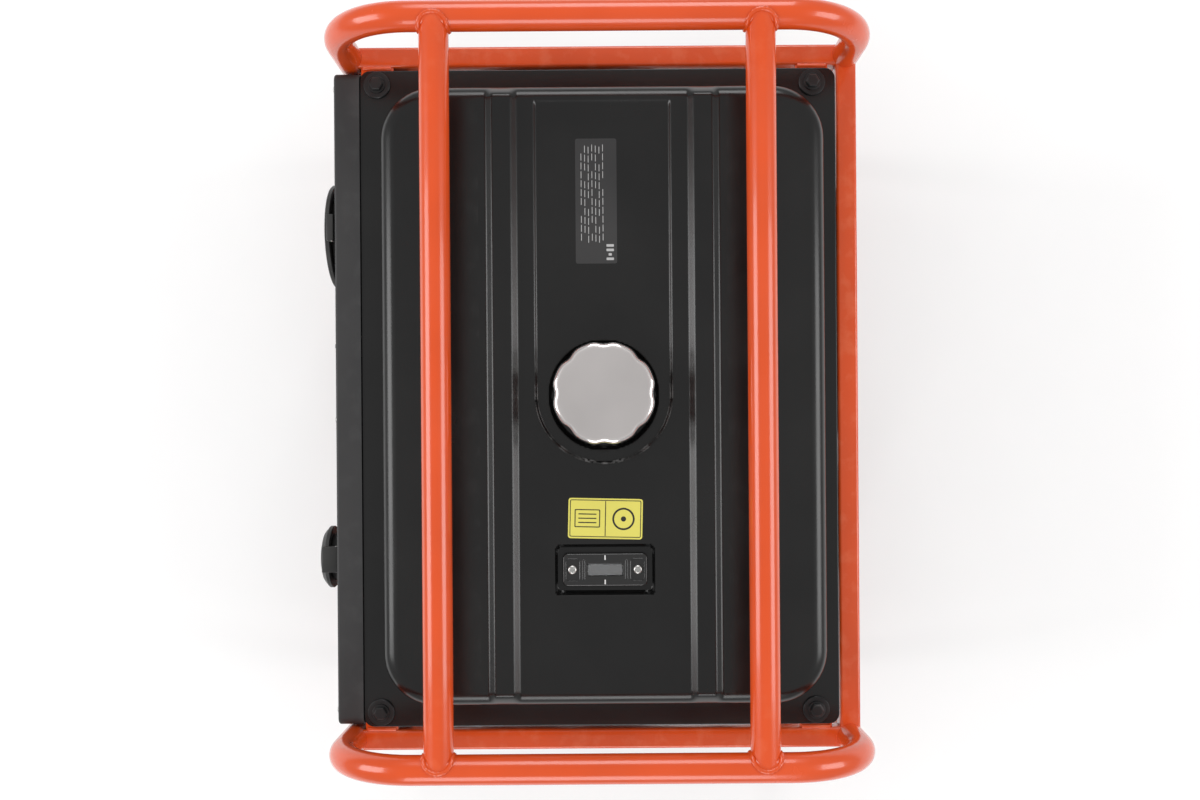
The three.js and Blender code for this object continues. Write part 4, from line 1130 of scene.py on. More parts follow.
    def cap(self) -> None:
        """Makes the scalloped cap: polished skirt, satin top and the plug below."""
        low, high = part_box("fuel_cap")
        r = 48.0
        tall = (high.z - low.z) / MM
        at = Vector((self.middle.x, self.middle.y, low.z))
        profile = [
            (r - 5, 12), (r - 5, 0.6), (r - 4.4, 0), (r - 1.2, 0), (r, 1.2), (r, tall * 0.5), (r, tall - 5)
        ]
        profile += [(r - 0.5, tall - 3), (r - 1.7, tall - 1.3), (r - 3.4, tall - 0.4), (r - 5.5, tall)]
        profile += [(r - 8, tall), (r - 20, tall - 0.1), (r - 34, tall - 0.1)]
        skirt = Bench.turned("fuel_cap_shell", Axis.Z, at, profile, 192)
        for vert in skirt.data.vertices:
            out = Vector((vert.co.x - at.x, vert.co.y - at.y, 0))
            angle = math.atan2(out.y, out.x)
            notch = ((1 + math.cos(self.scallops * angle)) / 2) ** 3
            edge = soft_step((out.length / MM - (r - 9)) / 6)
            vert.co -= out.normalized() * self.scallop_depth * MM * notch * edge
        plug_profile = [(24, -11.5 + 13), (25, -10.5 + 13), (25, 18), (20, 18.5)]
        plug = Bench.turned("plug", Axis.Z, at, plug_profile, 48)
        cap = dress(Bench.join("fuel_cap_shell", skirt, plug), CAP_RIM, "cap", "fuel_cap")
        flat = high.z - 0.9 * MM
        tint(cap, CAP_TOP, lambda point, normal: point.z > flat and normal.z > 0.9)

    def gauge(self) -> None:
        """Makes the fuel gauge: housing, lens, screws, marks and the float with its drum."""
        low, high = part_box("gauge_housing")
        body = Bench.block("gauge_cover", low, high, 5, Axis.Z, 1.4, 6)
        lens_low, lens_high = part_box("gauge_lens")
        grow = Vector((0.6, 0.6, 0)) * MM
        sight = Bench.block(
            "sight", (*(lens_low - grow).xy, low.z - 1), (*(lens_high + grow).xy, high.z + 1), 1.5
        )
        seats = [sight]
        spot = centre("gauge_housing")
        for end in (-1, 1):
            middle = Vector((spot.x, spot.y + end * 30.5 * MM, high.z))
            reach = Vector((10.5, 6.5, 2.6)) * MM
            seats.append(Bench.block("seat", middle - reach, middle + reach, 3))
            groove = Vector((spot.x, spot.y + end * 20.2 * MM, high.z))
            reach = Vector((9.5, 1.0, 1.2)) * MM
            seats.append(Bench.block("groove", groove - reach, groove + reach, 0.8))
        Bench.cut(body, *seats)
        Bench.soften(body, 0.5, 2)
        dress(body, GAUGE_BLACK, MACHINE, "gauge_housing")
        lens = Bench.block("gauge_window", lens_low, lens_high, 1.2, Axis.Z, 0.3, 4)
        dress(lens, GLASS, MACHINE, "gauge_lens")
        at = centre("gauge_housing")
        for end in (-1, 1):
            place = (at.x, at.y + end * 31 * MM, high.z - 2.6 * MM)
            dress(screw(f"gauge_screw_{'rear' if end > 0 else 'front'}", Axis.Z, place, 9), ZINC)
            spot = Vector((at.x + end * 11.5 * MM, at.y, high.z))
            half = Vector((2.2, 0.6, 0.2)) * MM
            dress(
                Bench.block(
                    f"gauge_mark_{'low' if end > 0 else 'high'}", spot - half, spot + half, 0, Axis.Z, 0.1
                ),
                WHITE,
            )
        self._float()

    def _float(self) -> None:
        """Makes the gauge's drum with its white band, the arm and the float."""
        joint = next(j for j in frame["joints"] if j["name"] == "gauge_float_swing")
        pivot = Vector(joint["pos_m"])
        drum = Bench.turned("gauge_drum", Axis.X, pivot, [(6, -6), (7, -5.6), (7, 5.6), (6, 6)], 40)
        corners = [pivot, pivot + Vector((0, 84, 0)) * MM]
        arm = Bench.tube("arm", corners, 1.6, 0, 16)
        cork_profile = [(10, -20), (12, -18), (12, 18), (10, 20)]
        cork = Bench.turned("cork", Axis.X, corners[1], cork_profile, 40)
        whole = Bench.join("gauge_drum", drum, arm, cork)
        drop = Matrix.Translation(pivot) @ Matrix.Rotation(
            math.radians(-25), 4, "X"
        ) @ Matrix.Translation(-pivot)
        whole.data.transform(drop)
        dress(whole, WHITE, "float", "gauge_float")
        tint(
            whole, RED, lambda point, normal: (point - pivot).length < 9 * MM and point.y > pivot.y + 1 * MM
        )
        tint(whole, CORK, lambda point, normal: (point - pivot).length > 60 * MM)
        tint(whole, ZINC, lambda point, normal: 9 * MM < (point - pivot).length < 60 * MM)

    def notice(self) -> None:
        """Makes the yellow notice: a film with a thin border, a ring and plain bars."""
        at = Vector((self.middle.x + 116.5 * MM, self.middle.y + 0.6 * MM, self.top + 0.05 * MM))
        film = self._plate("notice_film", at, 38, 70, 0.30, 2.5)
        border = self._plate("notice_border", at, 35, 67, 0.42, 1.5)
        Bench.cut(border, self._plate("inner", at - Vector((0, 0, 1)) * MM, 33.6, 65.6, 3, 1))
        bars = [border, self._plate("divider", at, 33, 0.8, 0.42, 0.2)]
        page = self._plate("page", at + Vector((0, -17, 0)) * MM, 17, 24, 0.42, 1)
        Bench.cut(page, self._plate("inner", at + Vector((0, -17, -1)) * MM, 15.2, 22.2, 3, 0.6))
        bars.append(page)
        for row in range(3):
            spot = at + Vector((-4 + row * 4, -17, 0)) * MM
            bars.append(self._plate(f"bar_{row}", spot, 1.0, 17, 0.42, 0.3))
        ring = Bench.turned("ring", Axis.Z, at + Vector((0, 17, 0)) * MM, [(10.5, -0.1), (10.5, 0.42)], 48)
        bars.append(
            Bench.cut(
                ring, Bench.turned("eye", Axis.Z, at + Vector((0, 17, 0)) * MM, [(8.8, -1), (8.8, 1)], 48)
            )
        )
        bars.append(Bench.turned("dot", Axis.Z, at + Vector((0, 17, 0)) * MM, [(2.4, 0.2), (2.4, 0.5)], 32))
        tilt = Matrix.Translation(at) @ Matrix.Rotation(
            math.radians(-1.5), 4, "Z"
        ) @ Matrix.Translation(-at)
        prints = Bench.join("notice_print", *bars)
        for piece, finish in ((film, YELLOW), (prints, INK)):
            piece.data.transform(tilt)
            dress(piece, finish)

    @staticmethod
    def _plate(
        name: str, at: Vector, along_x: float, along_y: float, thick: float, corner: float,
    ) -> bpy.types.Object:
        """Makes a thin plate that lies on a point, with round corners."""
        half = Vector((along_x / 2, along_y / 2, 0)) * MM
        return Bench.block(
            name, at - half - Vector((0, 0, 0.1 * MM)), at + half + Vector((0, 0, thick * MM)), corner,
            Axis.Z, 0, 4,
        )

    def data_label(self) -> None:
        """Makes the data label as a dark film with plain ruled columns."""
        at = Vector(
            (self.middle.x - 183 * MM, self.middle.y - 6 * MM, self.top - (self.channel_depth - 0.05) * MM)
        )
        dress(self._plate("label_film", at, 118, 39, 0.2, 2), LABEL)
        dash = self._plate("dash", at, 6.5, 0.6, 0.26, 0)
        rules = []
        for column in range(7):
            for row in range(11):
                if (column * 5 + row * 3) % 7 == 0:
                    continue
                shift = Matrix.Translation(
                    Vector((-50 + row * 8.4 + (column % 3), -14 + column * 3.4, 0)) * MM
                )
                rules.append(Bench.copy(dash, f"rule_{column}_{row}", shift))
        for row, high in enumerate((7, 7, 3, 7)):
            block = self._plate(
                f"figure_{row}", at + Vector((42 + row * 4.2, 13, 0)) * MM, 2.4, high, 0.26, 0.5
            )
            rules.append(block)
        bpy.data.objects.remove(dash, do_unlink=True)
        dress(Bench.join("label_rules", *rules), SILVER_INK)

    def corner_bolt(self, side: str, end: str) -> None:
        """Makes one tank bolt with its washer.

        Args:
            side: left or right.
            end: front or rear.
        """
        node = f"tank_bolt_{side}_{end}"
        low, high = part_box(node)
        at = (*centre(node).xy, self.deck)
        washer = [(11.5, 0.2), (13, 0.5), (13, 1.9), (12.4, 2.4), (8, 2.5)]
        plate = Bench.turned(node + "_washer", Axis.Z, at, washer, 48)
        head = bolt(node + "_head", Axis.Z, (*centre(node).xy, self.deck + 2.3 * MM), 13.5, 5.6)
        shank = Bench.turned(
            "shank", Axis.Z, at,
            [(3.4, (low.z - self.deck) / MM), (4, (low.z - self.deck) / MM + 1), (4, 1)], 24,
        )
        dress(Bench.join(node + "_set", plate, head, shank), BOLT_BLACK, MACHINE, node)


# ------------------------------------------------------------------ socket panel
@dataclass
class SocketPanel:
    """The control panel with its sockets, lids, switches and meter."""

    wall: float = 2.0
    face: float = 0.0

    def __post_init__(self) -> None:
        """Takes the panel's face from the CAD node."""
        self.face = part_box("panel_shell")[0].y

    def build(self) -> None:
        """Builds and dresses every piece of the panel."""
        self.shell()
        self.socket("large", 37, 48, 31, 12, 4)
        self.socket("small", 23, 28, 20, 20, 9)
        self.breaker()
        self.ignition()
        self.meter()
        self.terminals()

    def shell(self) -> None:
        """Folds the panel's box and cuts its holes and the step under the tank's flange."""
        low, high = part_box("panel_shell")
        wall = self.wall * MM
        box = Bench.block("panel_box", low, high, 8, Axis.Y, 0, 8)
        Bench.pick_edges(box, lambda a, b: a.y < low.y + 1e-5 and b.y < low.y + 1e-5)
        bpy.ops.mesh.bevel(offset=2.2 * MM, segments=5, affect="EDGES")
        bpy.ops.object.mode_set(mode="OBJECT")
        Bench.cut(
            box,
            Bench.block(
                "inside", low + Vector((wall, wall, wall)), high + Vector((-wall, 1 * MM, -wall)), 6, Axis.Y
            ),
        )
        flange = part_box("tank_upper_shell")[0].y
        step_low = (low.x - 1 * MM, flange - 0.3 * MM, high.z - 12 * MM)
        Bench.cut(box, Bench.block("step", step_low, (high.x + 1 * MM, high.y + 2 * MM, high.z + 1 * MM)))
        tools = []
        for size, radius in (("large", 37.2), ("small", 23.2)):
            at = centre(f"{size}_socket_body")
            spot = (at.x, self.face, self._socket_z(size))
            tools.append(Bench.turned(f"hole_{size}", Axis.Y, spot, [(radius, -2), (radius, 5)], 48))
        key = centre("ignition_key")
        tools.append(
            Bench.turned("hole_key", Axis.Y, (key.x, self.face, key.z), [(11.4, -2), (11.4, 5)], 40)
        )
        at = centre("breaker_body")
        half = Vector((18.4, 5, 24.4)) * MM
        spot = Vector((at.x, self.face, at.z))
        tools.append(Bench.block("hole_breaker", spot - half, spot + half))
        Bench.cut(box, *tools)
        dress(Bench.settle(box, "panel_box"), PANEL_GREY, MACHINE, "panel_shell")
        for index, x in enumerate((low.x + 14 * MM, 20 * MM, high.x - 14 * MM)):
            for level, z in (("low", low.z + 11 * MM), ("high", high.z - 11 * MM)):
                dress(screw(f"panel_screw_{level}_{index}", Axis.Y, (x, self.face, z), 8, -1), ZINC)

    @staticmethod
    def _socket_z(size: str) -> float:
        """Gives the height of a socket's middle, which is its lid's disc's."""
        low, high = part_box(f"{size}_socket_lid")
        return low.z + (high.x - low.x) / 2

    def socket(self, size: str, hole: float, collar: float, well: float, stand: float, dome: float) -> None:
        """Makes one socket and its sprung lid.

        Args:
            size: large or small.
            hole: radius of the panel's hole, in millimetres.
            collar: radius of the collar in front of the panel.
            well: radius of the well for the plug.
            stand: how far the lid's rim stands in front of the panel.
            dome: how far the lid's face bulges.
        """
        body_low, body_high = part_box(f"{size}_socket_body")
        at = Vector((centre(f"{size}_socket_lid").x, self.face, self._socket_z(size)))
        back = (body_high.y - self.face) / MM
        rim = -(stand - 3.4)
        profile = [
            (hole - 2, back), (hole - 0.6, back - 1.5), (hole - 0.6, 0.2), (collar, -0.2), (collar, -3)
        ]
        profile += [
            (collar - 2, -5), (collar - 3, rim + 1.5), (collar - 4, rim), (well + 1.5, rim),
            (well, rim + 1.5),
        ]
        profile += [(well, back - 20), (well - 2, back - 18)]
        cup = Bench.turned(f"{size}_socket_cup", Axis.Y, at, profile, 72)
        pin = Vector(self._pin(size))
        post_low = Vector((at.x - 8 * MM, pin.y - 2.5 * MM, at.z + (collar - 6) * MM))
        post = Bench.block("post", post_low, (at.x + 8 * MM, pin.y + 2.5 * MM, pin.z), 0, Axis.X)
        ear = Bench.turned(
            "ear", Axis.X, (at.x, pin.y, pin.z), [(2.0, -8), (2.5, -7.6), (2.5, 7.6), (2.0, 8)], 28
        )
        eye = Bench.turned("eye", Axis.X, (at.x, pin.y, pin.z), [(1.9, -9), (1.9, 9)], 24)
        Bench.cut(ear, Bench.copy(eye, "eye_ear", Matrix.Identity(4)))
        Bench.cut(post, eye)
        cup = Bench.join(f"{size}_socket_cup", cup, post, ear)
        dress(cup, PLASTIC, MACHINE, f"{size}_socket_body")
        count = 3
        pin = Bench.turned(
            "pin", Axis.Y, at + Vector((well * 0.45, 0, 0)) * MM,
            [(2.4, back - 17), (2.4, back - 26), (1.6, back - 27)], 20,
        )
        pins = Bench.ring(pin, Axis.Y, at, count, "pin")
        dress(Bench.join(f"{size}_socket_contacts", *pins), ZINC)
        self._lid(size, at, stand, dome)

    @staticmethod
    def _pin(size: str) -> Sequence[float]:
        """Gives the place of a lid's pin."""
        return next(j for j in frame["joints"] if j["name"] == f"{size}_lid_hinge")["pos_m"]

    def _lid(self, size: str, at: Vector, stand: float, dome: float) -> None:
        """Makes a domed lid with a stepped rim, a grip lip and its hinge block."""
        low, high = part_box(f"{size}_socket_lid")
        r = (high.x - low.x) / 2 / MM
        face = -stand
        profile = [
            (r - 4, face + 3), (r - 0.8, face + 3), (r, face + 2.2), (r, face - 1), (r - 0.9, face - 2)
        ]
        profile += [
            (r * 0.93, face - 2 - dome * 0.1), (r * 0.88, face - dome * 0.5), (r * 0.80, face - dome * 0.7)
        ]
        profile += [(r * 0.62, face - dome * 0.88), (r * 0.40, face - dome * 0.97), (r * 0.12, face - dome)]
        disc = Bench.turned("disc", Axis.Y, at, profile, 96)
        pivot = Vector(self._pin(size))
        front = face - 3 if size == "small" else face + 1
        low_at = Vector((at.x - 13 * MM, at.y + front * MM, at.z + (r - 4) * MM))
        high_at = Vector((at.x + 13 * MM, pivot.y + 2.5 * MM, pivot.z + 5.0 * MM))
        block = Bench.block("hinge", low_at, high_at, 1.2, Axis.X, 0.5, 4)
        room_low = at + Vector((-10, face + 3, 0)) * MM
        room_high = (at.x + 10 * MM, self.face + 2 * MM, pivot.z + 3.4 * MM)
        Bench.cut(block, Bench.block("room", room_low, room_high))
        pin = Bench.turned("pin", Axis.X, pivot, [(1.1, -13.4), (1.5, -13), (1.5, 13), (1.1, 13.4)], 20)
        lip = Bench.block(
            "lip",
            at + Vector((-9, face - 3, -r - 0.0)) * MM,
            at + Vector((9, face + 2, -r + 5)) * MM,
            0,
            Axis.Z,
            1,
        )
        lid = dress(
            Bench.join(f"{size}_socket_cover", disc, block, pin, lip), PLASTIC, f"{size}_lid",
            f"{size}_socket_lid",
        )
        tint(lid, ZINC, lambda point, normal: (point - pivot).yz.length < 1.7 * MM)

    def breaker(self) -> None:
        """Makes the circuit breaker and its toggle."""
        low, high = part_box("breaker_body")
        body = Bench.block("breaker_case", low, high, 0, Axis.Y, 0.8)
        at = centre("breaker_toggle")
        room_low = (at.x - 9 * MM, low.y - 1 * MM, centre("breaker_body").z - 16 * MM)
        room_high = (at.x + 9 * MM, self.face + 14 * MM, centre("breaker_body").z + 16 * MM)
        Bench.cut(body, Bench.block("slot", room_low, room_high, 2, Axis.Y))
        dress(body, PLASTIC, MACHINE, "breaker_body")
        joint = next(j for j in frame["joints"] if j["name"] == "breaker_switch")
        pivot = Vector(joint["pos_m"])
        hub = Bench.turned("breaker_lever", Axis.X, pivot, [(6, -7), (7, -6.2), (7, 6.2), (6, 7)], 40)
        lever = Bench.block(
            "lever", pivot + Vector((-5.5, -17.5, -3.5)) * MM, pivot + Vector((5.5, -3, 3.5)) * MM, 0,
            Axis.X, 1.6,
        )
        whole = Bench.join("breaker_lever", hub, lever)
        tilt = Matrix.Translation(pivot) @ Matrix.Rotation(
            math.radians(15), 4, "X"
        ) @ Matrix.Translation(-pivot)
        whole.data.transform(tilt)
        dress(whole, RED, "toggle", "breaker_toggle")

    def ignition(self) -> None:
        """Makes the key switch: a plated bezel, the barrel and the key."""
        at = centre("ignition_key")
        spot = Vector((at.x, self.face, at.z))
        bezel = Bench.turned(
            "key_bezel", Axis.Y, spot,
            [(17, -0.2), (17.5, -1), (16, -3), (13, -3.6), (11.3, -3.2), (11.3, 2), (11.5, 6)], 56,
        )
        dress(bezel, ZINC)
        barrel = Bench.turned("key_barrel", Axis.Y, spot, [(9, -3.4), (11, -2.6), (11, 29), (10, 30)], 48)
        bow = Bench.block(
            "bow", spot + Vector((-2.6, -25.5, -9.5)) * MM, spot + Vector((2.6, -9, 9.5)) * MM, 6, Axis.X,
            1, 6,
        )
        blade = Bench.block(
            "blade", spot + Vector((-1.2, -10, -3.6)) * MM, spot + Vector((1.2, -2, 3.6)) * MM, 0, Axis.X,
            0.4,
        )
        key = dress(Bench.join("key_barrel", barrel, bow, blade), ZINC, "key", "ignition_key")
        tint(key, PLASTIC, lambda point, normal: point.y < spot.y - 8.9 * MM)

    def meter(self) -> None:
        """Makes the voltmeter: bezel, dial, scale marks, needle and window."""
        at = Vector((4 * MM, self.face, centre("breaker_body").z))
        bezel = Bench.block(
            "meter_bezel", at + Vector((-26, -6, -26)) * MM, at + Vector((26, 0.2, 26)) * MM, 5, Axis.Y, 1.2
        )
        Bench.cut(
            bezel,
            Bench.block(
                "sight", at + Vector((-21, -9, -19)) * MM, at + Vector((21, -3, 21)) * MM, 3, Axis.Y
            ),
        )
        dress(bezel, PLASTIC)
        dial = Bench.block(
            "meter_dial", at + Vector((-20.8, -3.6, -18.8)) * MM, at + Vector((20.8, -2.9, 20.8)) * MM, 3,
            Axis.Y, 0.2,
        )
        dress(dial, WHITE)
        hub = at + Vector((0, -4.0, -12)) * MM
        marks = []
        for index in range(13):
            angle = math.radians(-54 + 9 * index)
            mark = Bench.block(
                "mark", hub + Vector((-0.35, -0.1, 24)) * MM,
                hub + Vector((0.35, 0.5, 28 + 2 * (index % 3 == 0))) * MM, 0, Axis.Y, 0.1,
            )
            mark.data.transform(
                Matrix.Translation(hub) @ Matrix.Rotation(angle, 4, "Y") @ Matrix.Translation(-hub)
            )
            marks.append(mark)
        dress(Bench.join("meter_scale", *marks), INK)
        needle = Bench.block(
            "meter_needle", hub + Vector((-0.4, -0.5, 0)) * MM, hub + Vector((0.4, 0, 25)) * MM, 0, Axis.Y,
            0.15,
        )
        needle.data.transform(
            Matrix.Translation(hub) @ Matrix.Rotation(math.radians(-54), 4, "Y") @ Matrix.Translation(-hub)
        )
        boss = Bench.turned("boss", Axis.Y, hub, [(3.5, 0.4), (3.5, -0.8), (2.6, -1.2)], 28)
        dress(Bench.join("meter_needle", needle, boss), INK)
        window = Bench.block(
            "meter_window", at + Vector((-20.9, -5.6, -18.9)) * MM, at + Vector((20.9, -5.0, 20.9)) * MM, 3,
            Axis.Y, 0.15,
        )
        dress(window, GLASS)

    def terminals(self) -> None:
        """Makes two binding posts, a reset button, a lamp and the earth terminal."""
        z = centre("breaker_body").z
        for name, x, finish in (("plus", 226, RED), ("minus", 252, PLASTIC)):
            at = (x * MM, self.face, z - 26 * MM)
            profile = [
                (9, 0.2), (9, -2), (5, -2.4), (4.4, -5), (6.2, -6), (6.8, -7), (6.8, -13), (6, -14.4),
                (3.4, -14.6),
            ]
            dress(Bench.turned(f"binding_post_{name}", Axis.Y, at, profile, 20), finish)
        reset = [(8, 0.2), (8.4, -1.2), (7, -3.4), (5.2, -3.6), (5.2, -7), (4.4, -7.8)]
        dress(Bench.turned("reset_button", Axis.Y, (239 * MM, self.face, z - 52 * MM), reset, 40), RED)
        lamp = [(7, 0.2), (7, -1.6), (5.8, -2.4), (5.6, -4.6), (4.2, -6.6), (1.6, -7.4)]
        dress(Bench.turned("pilot_lamp", Axis.Y, (-62 * MM, self.face, z + 8 * MM), lamp, 40), GREEN_LAMP)
        earth = (288 * MM, self.face, z - 54 * MM)
        stud = Bench.turned("earth_terminal", Axis.Y, earth, [(3, 0.5), (3, -15), (2.4, -15.8)], 24)
        washer = Bench.turned("washer", Axis.Y, earth, [(9, 0.2), (9, -1.4), (5, -1.5)], 40)
        nut = Bench.turned("nut", Axis.Y, earth, [(6.2, -1.4), (6.2, -6), (5.2, -6.8)], 6)
        dress(Bench.join("earth_terminal", stud, washer, nut), ZINC)


# ------------------------------------------------------------------ engine
@dataclass
class Engine:
    """The slanted single-cylinder engine with starter, carburettor and air cleaner."""

    slant: float = 25.0
    fin_pitch: float = 9.0
    fin_size: float = 132.0
    deck: float = 161.0
    crank: Vector = field(default_factory=Vector)
    bore_x: float = 0.0

    def __post_init__(self) -> None:
        """Takes the crankshaft's axis and the cylinder's plane from the CAD."""
        joint = next(j for j in frame["joints"] if j["name"] == "crank_spin")
        self.crank = Vector(joint["pos_m"])
        self.bore_x = centre("valve_cover").x

    def build(self) -> None:
        """Builds and dresses every piece of the engine."""
        self.case()
        self.cylinder()
        self.head()
        self.shroud()
        self.starter()
        self.handle()
        self.dipstick()
        self.intake()
        self.fuel_line()
        coat_node("crankshaft", ZINC)
        coat_node("flywheel_fan", CAST)
        coat_node("piston", CAST)
        coat_node("starter_pulley", PLASTIC)

    def _at(self, x: float, y: float, z: float) -> Vector:
        """Gives a point from the crankshaft's axis at the cylinder's plane, in millimetres."""
        return Vector((self.bore_x + x * MM, self.crank.y + y * MM, self.crank.z + z * MM))

    def _lean(self, piece: bpy.types.Object) -> bpy.types.Object:
        """Leans a piece made along +Y up by the cylinder's slant."""
        pivot = Vector((0, self.crank.y, self.crank.z))
        turn = Matrix.Rotation(math.radians(self.slant), 4, "X")
        piece.data.transform(Matrix.Translation(pivot) @ turn @ Matrix.Translation(-pivot))
        return piece

    def case(self) -> None:
        """Makes the crankcase with its cover ribs, sump foot and bolts."""
        low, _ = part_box("crankcase")
        x0, x1 = low.x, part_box("crankcase")[1].x
        y0, y1 = self.crank.y - 88 * MM, self.crank.y + 92 * MM
        z0, z1 = self.crank.z - 107 * MM, self.crank.z + 78 * MM
        body = Bench.block("engine_case", (x0, y0, z0), (x1, y1, z1), 18, Axis.X, 2.5, 8)
        hollow = Bench.block(
            "hollow", (x0 - 1 * MM, y0 + 8 * MM, z0 + 8 * MM), (x1 - 8 * MM, y1 - 8 * MM, z1 - 8 * MM), 10,
            Axis.X,
        )
        Bench.cut(body, hollow)
        seat = Vector((x1, self.crank.y, self.crank.z))
        Bench.cut(body, Bench.turned("bearing", Axis.X, seat, [(18.6, -12), (18.6, 2)], 48))
        ribs = [body]
        for index in range(5):
            z = z0 + (26 + 30 * index) * MM
            ribs.append(
                Bench.block(
                    "rib", (x0 + 16 * MM, y0 - 2.4 * MM, z), (x1 - 48 * MM, y0 + 2 * MM, z + 4 * MM), 0,
                    Axis.X, 1,
                )
            )
        flange = Bench.block(
            "flange", (x0, y0 - 4 * MM, z0 + 16 * MM), (x0 + 9 * MM, y0 + 4 * MM, z1 - 14 * MM), 0, Axis.X,
            1.5,
        )
        boss = Bench.turned(
            "boss", Axis.Y, (x1 - 36 * MM, y0, self.crank.z - 58 * MM),
            [(19, 6), (19, -1.5), (17.5, -3), (15.4, -3)], 40,
        )
        ribs += [flange, boss]
        dress(Bench.join("engine_case", *ribs), CAST, MACHINE, "crankcase")
        for index, (y, z) in enumerate(((-70, 58), (-70, -84), (74, 58), (74, -84))):
            at = (x1, self.crank.y + y * MM, self.crank.z + z * MM)
            dress(bolt(f"case_bolt_{index}", Axis.X, at, 9, 5), ZINC)
        drain = (x0 + 40 * MM, y0, z0 + 22 * MM)
        dress(bolt("drain_plug", Axis.Y, drain, 15, 9, -1), ZINC)

    def cylinder(self) -> None:
        """Makes the finned barrel."""
        half = self.fin_size / 2
        barrel = Bench.turned(
            "finned_barrel", Axis.Y, self._at(0, 0, 0),
            [(54, 84), (56, 86), (56, self.deck - 1), (54, self.deck)], 64,
        )
        fins = [barrel]
        for index in range(8):
            y = self.deck - 4 - index * self.fin_pitch
            low = -half if index < 4 else -half + 16
            fins.append(
                Bench.block(
                    "fin",
                    self._at(-half, y, low),
                    self._at(half, y + 2.6, half - 12),
                    12,
                    Axis.Y,
                    0.8,
                    5,
                )
            )
        dress(self._lean(Bench.join("finned_barrel", *fins)), CAST)

    def head(self) -> None:
        """Makes the cylinder head with its ports and plug, and the valve cover."""
        start = self.deck + 0.3
        core = Bench.block(
            "finned_head", self._at(-56, start, -38), self._at(56, start + 46, 38), 10, Axis.Y, 1.5
        )
        pieces = [core]
        for index in range(5):
            y = start + 1 + index * 10
            pieces.append(
                Bench.block("fin", self._at(-68, y, -46), self._at(68, y + 2.8, 46), 10, Axis.Y, 0.8, 5)
            )
        port = Bench.turned(
            "port", Axis.X, self._at(0, start + 23, 0), [(17, -68), (19, -66), (19, 66), (17, 68)], 40
        )
        pieces.append(port)
        dress(self._lean(Bench.join("finned_head", *pieces)), CAST, MACHINE, "cylinder_head")
        y = self.deck + 46.6
        cover = Bench.block(
            "rocker_cover", self._at(-56, y, -36), self._at(56, y + 26, 36), 14, Axis.Y, 0, 8
        )
        Bench.pick_edges(cover, lambda a, b: min(a.y, b.y) > self._at(0, y + 25.9, 0).y)
        bpy.ops.mesh.bevel(offset=8 * MM, segments=6, affect="EDGES")
        bpy.ops.object.mode_set(mode="OBJECT")
        lip = Bench.block("lip", self._at(-59, y, -39), self._at(59, y + 4, 39), 15, Axis.Y, 1)
        dress(self._lean(Bench.join("rocker_cover", cover, lip)), HEAT_BLACK, MACHINE, "valve_cover")
        for index, (x, z) in enumerate(((-48, -28), (48, -28), (-48, 28), (48, 28))):
            head = bolt(f"cover_bolt_{index}", Axis.Y, self._at(x, y + 4, z), 9, 5)
            dress(self._lean(head), ZINC)
        plug = [(7, 0), (7, 6), (5, 7), (5, 14), (9, 15), (9.5, 17), (9.5, 34), (7, 38), (4, 39)]
        spot = self._at(-24, start + 22, 44)
        boot = Bench.turned("plug_boot", Axis.Z, spot, plug, 32)
        dress(self._lean(boot), RUBBER)

    def shroud(self) -> None:
        """Makes the fan shroud with its rolled rim, air scoop and screws."""
        low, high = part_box("fan_shroud")
        r = (high.y - low.y) / 2 / MM
        at = Vector((low.x, self.crank.y, self.crank.z))
        long = (high.x - low.x) / MM
        profile = [
            (r - 3, 2), (r - 3, 0.4), (r - 2, 0), (r, 0.6), (r, 6), (r - 1, 8), (r - 1, long - 14),
            (r - 3, long - 6),
        ]
        profile += [
            (r - 8, long - 1), (r - 14, long), (84, long), (80, long - 0.6), (80, long - 3),
            (r - 12, long - 3),
        ]
        profile += [(r - 6, long - 9), (r - 4, long - 16), (r - 3.5, 3)]
        cup = Bench.turned("fan_housing", Axis.X, at, profile[1:], 96)
        dress(cup, TANK_BLACK, MACHINE, "fan_shroud")
        first = Vector((high.x, self.crank.y, self.crank.z + (r - 18) * MM))
        heads = Bench.ring(bolt("shroud_bolt_0", Axis.X, first, 8, 4), Axis.X, at, 4, "shroud_bolt")
        for head in heads:
            dress(head, ZINC)

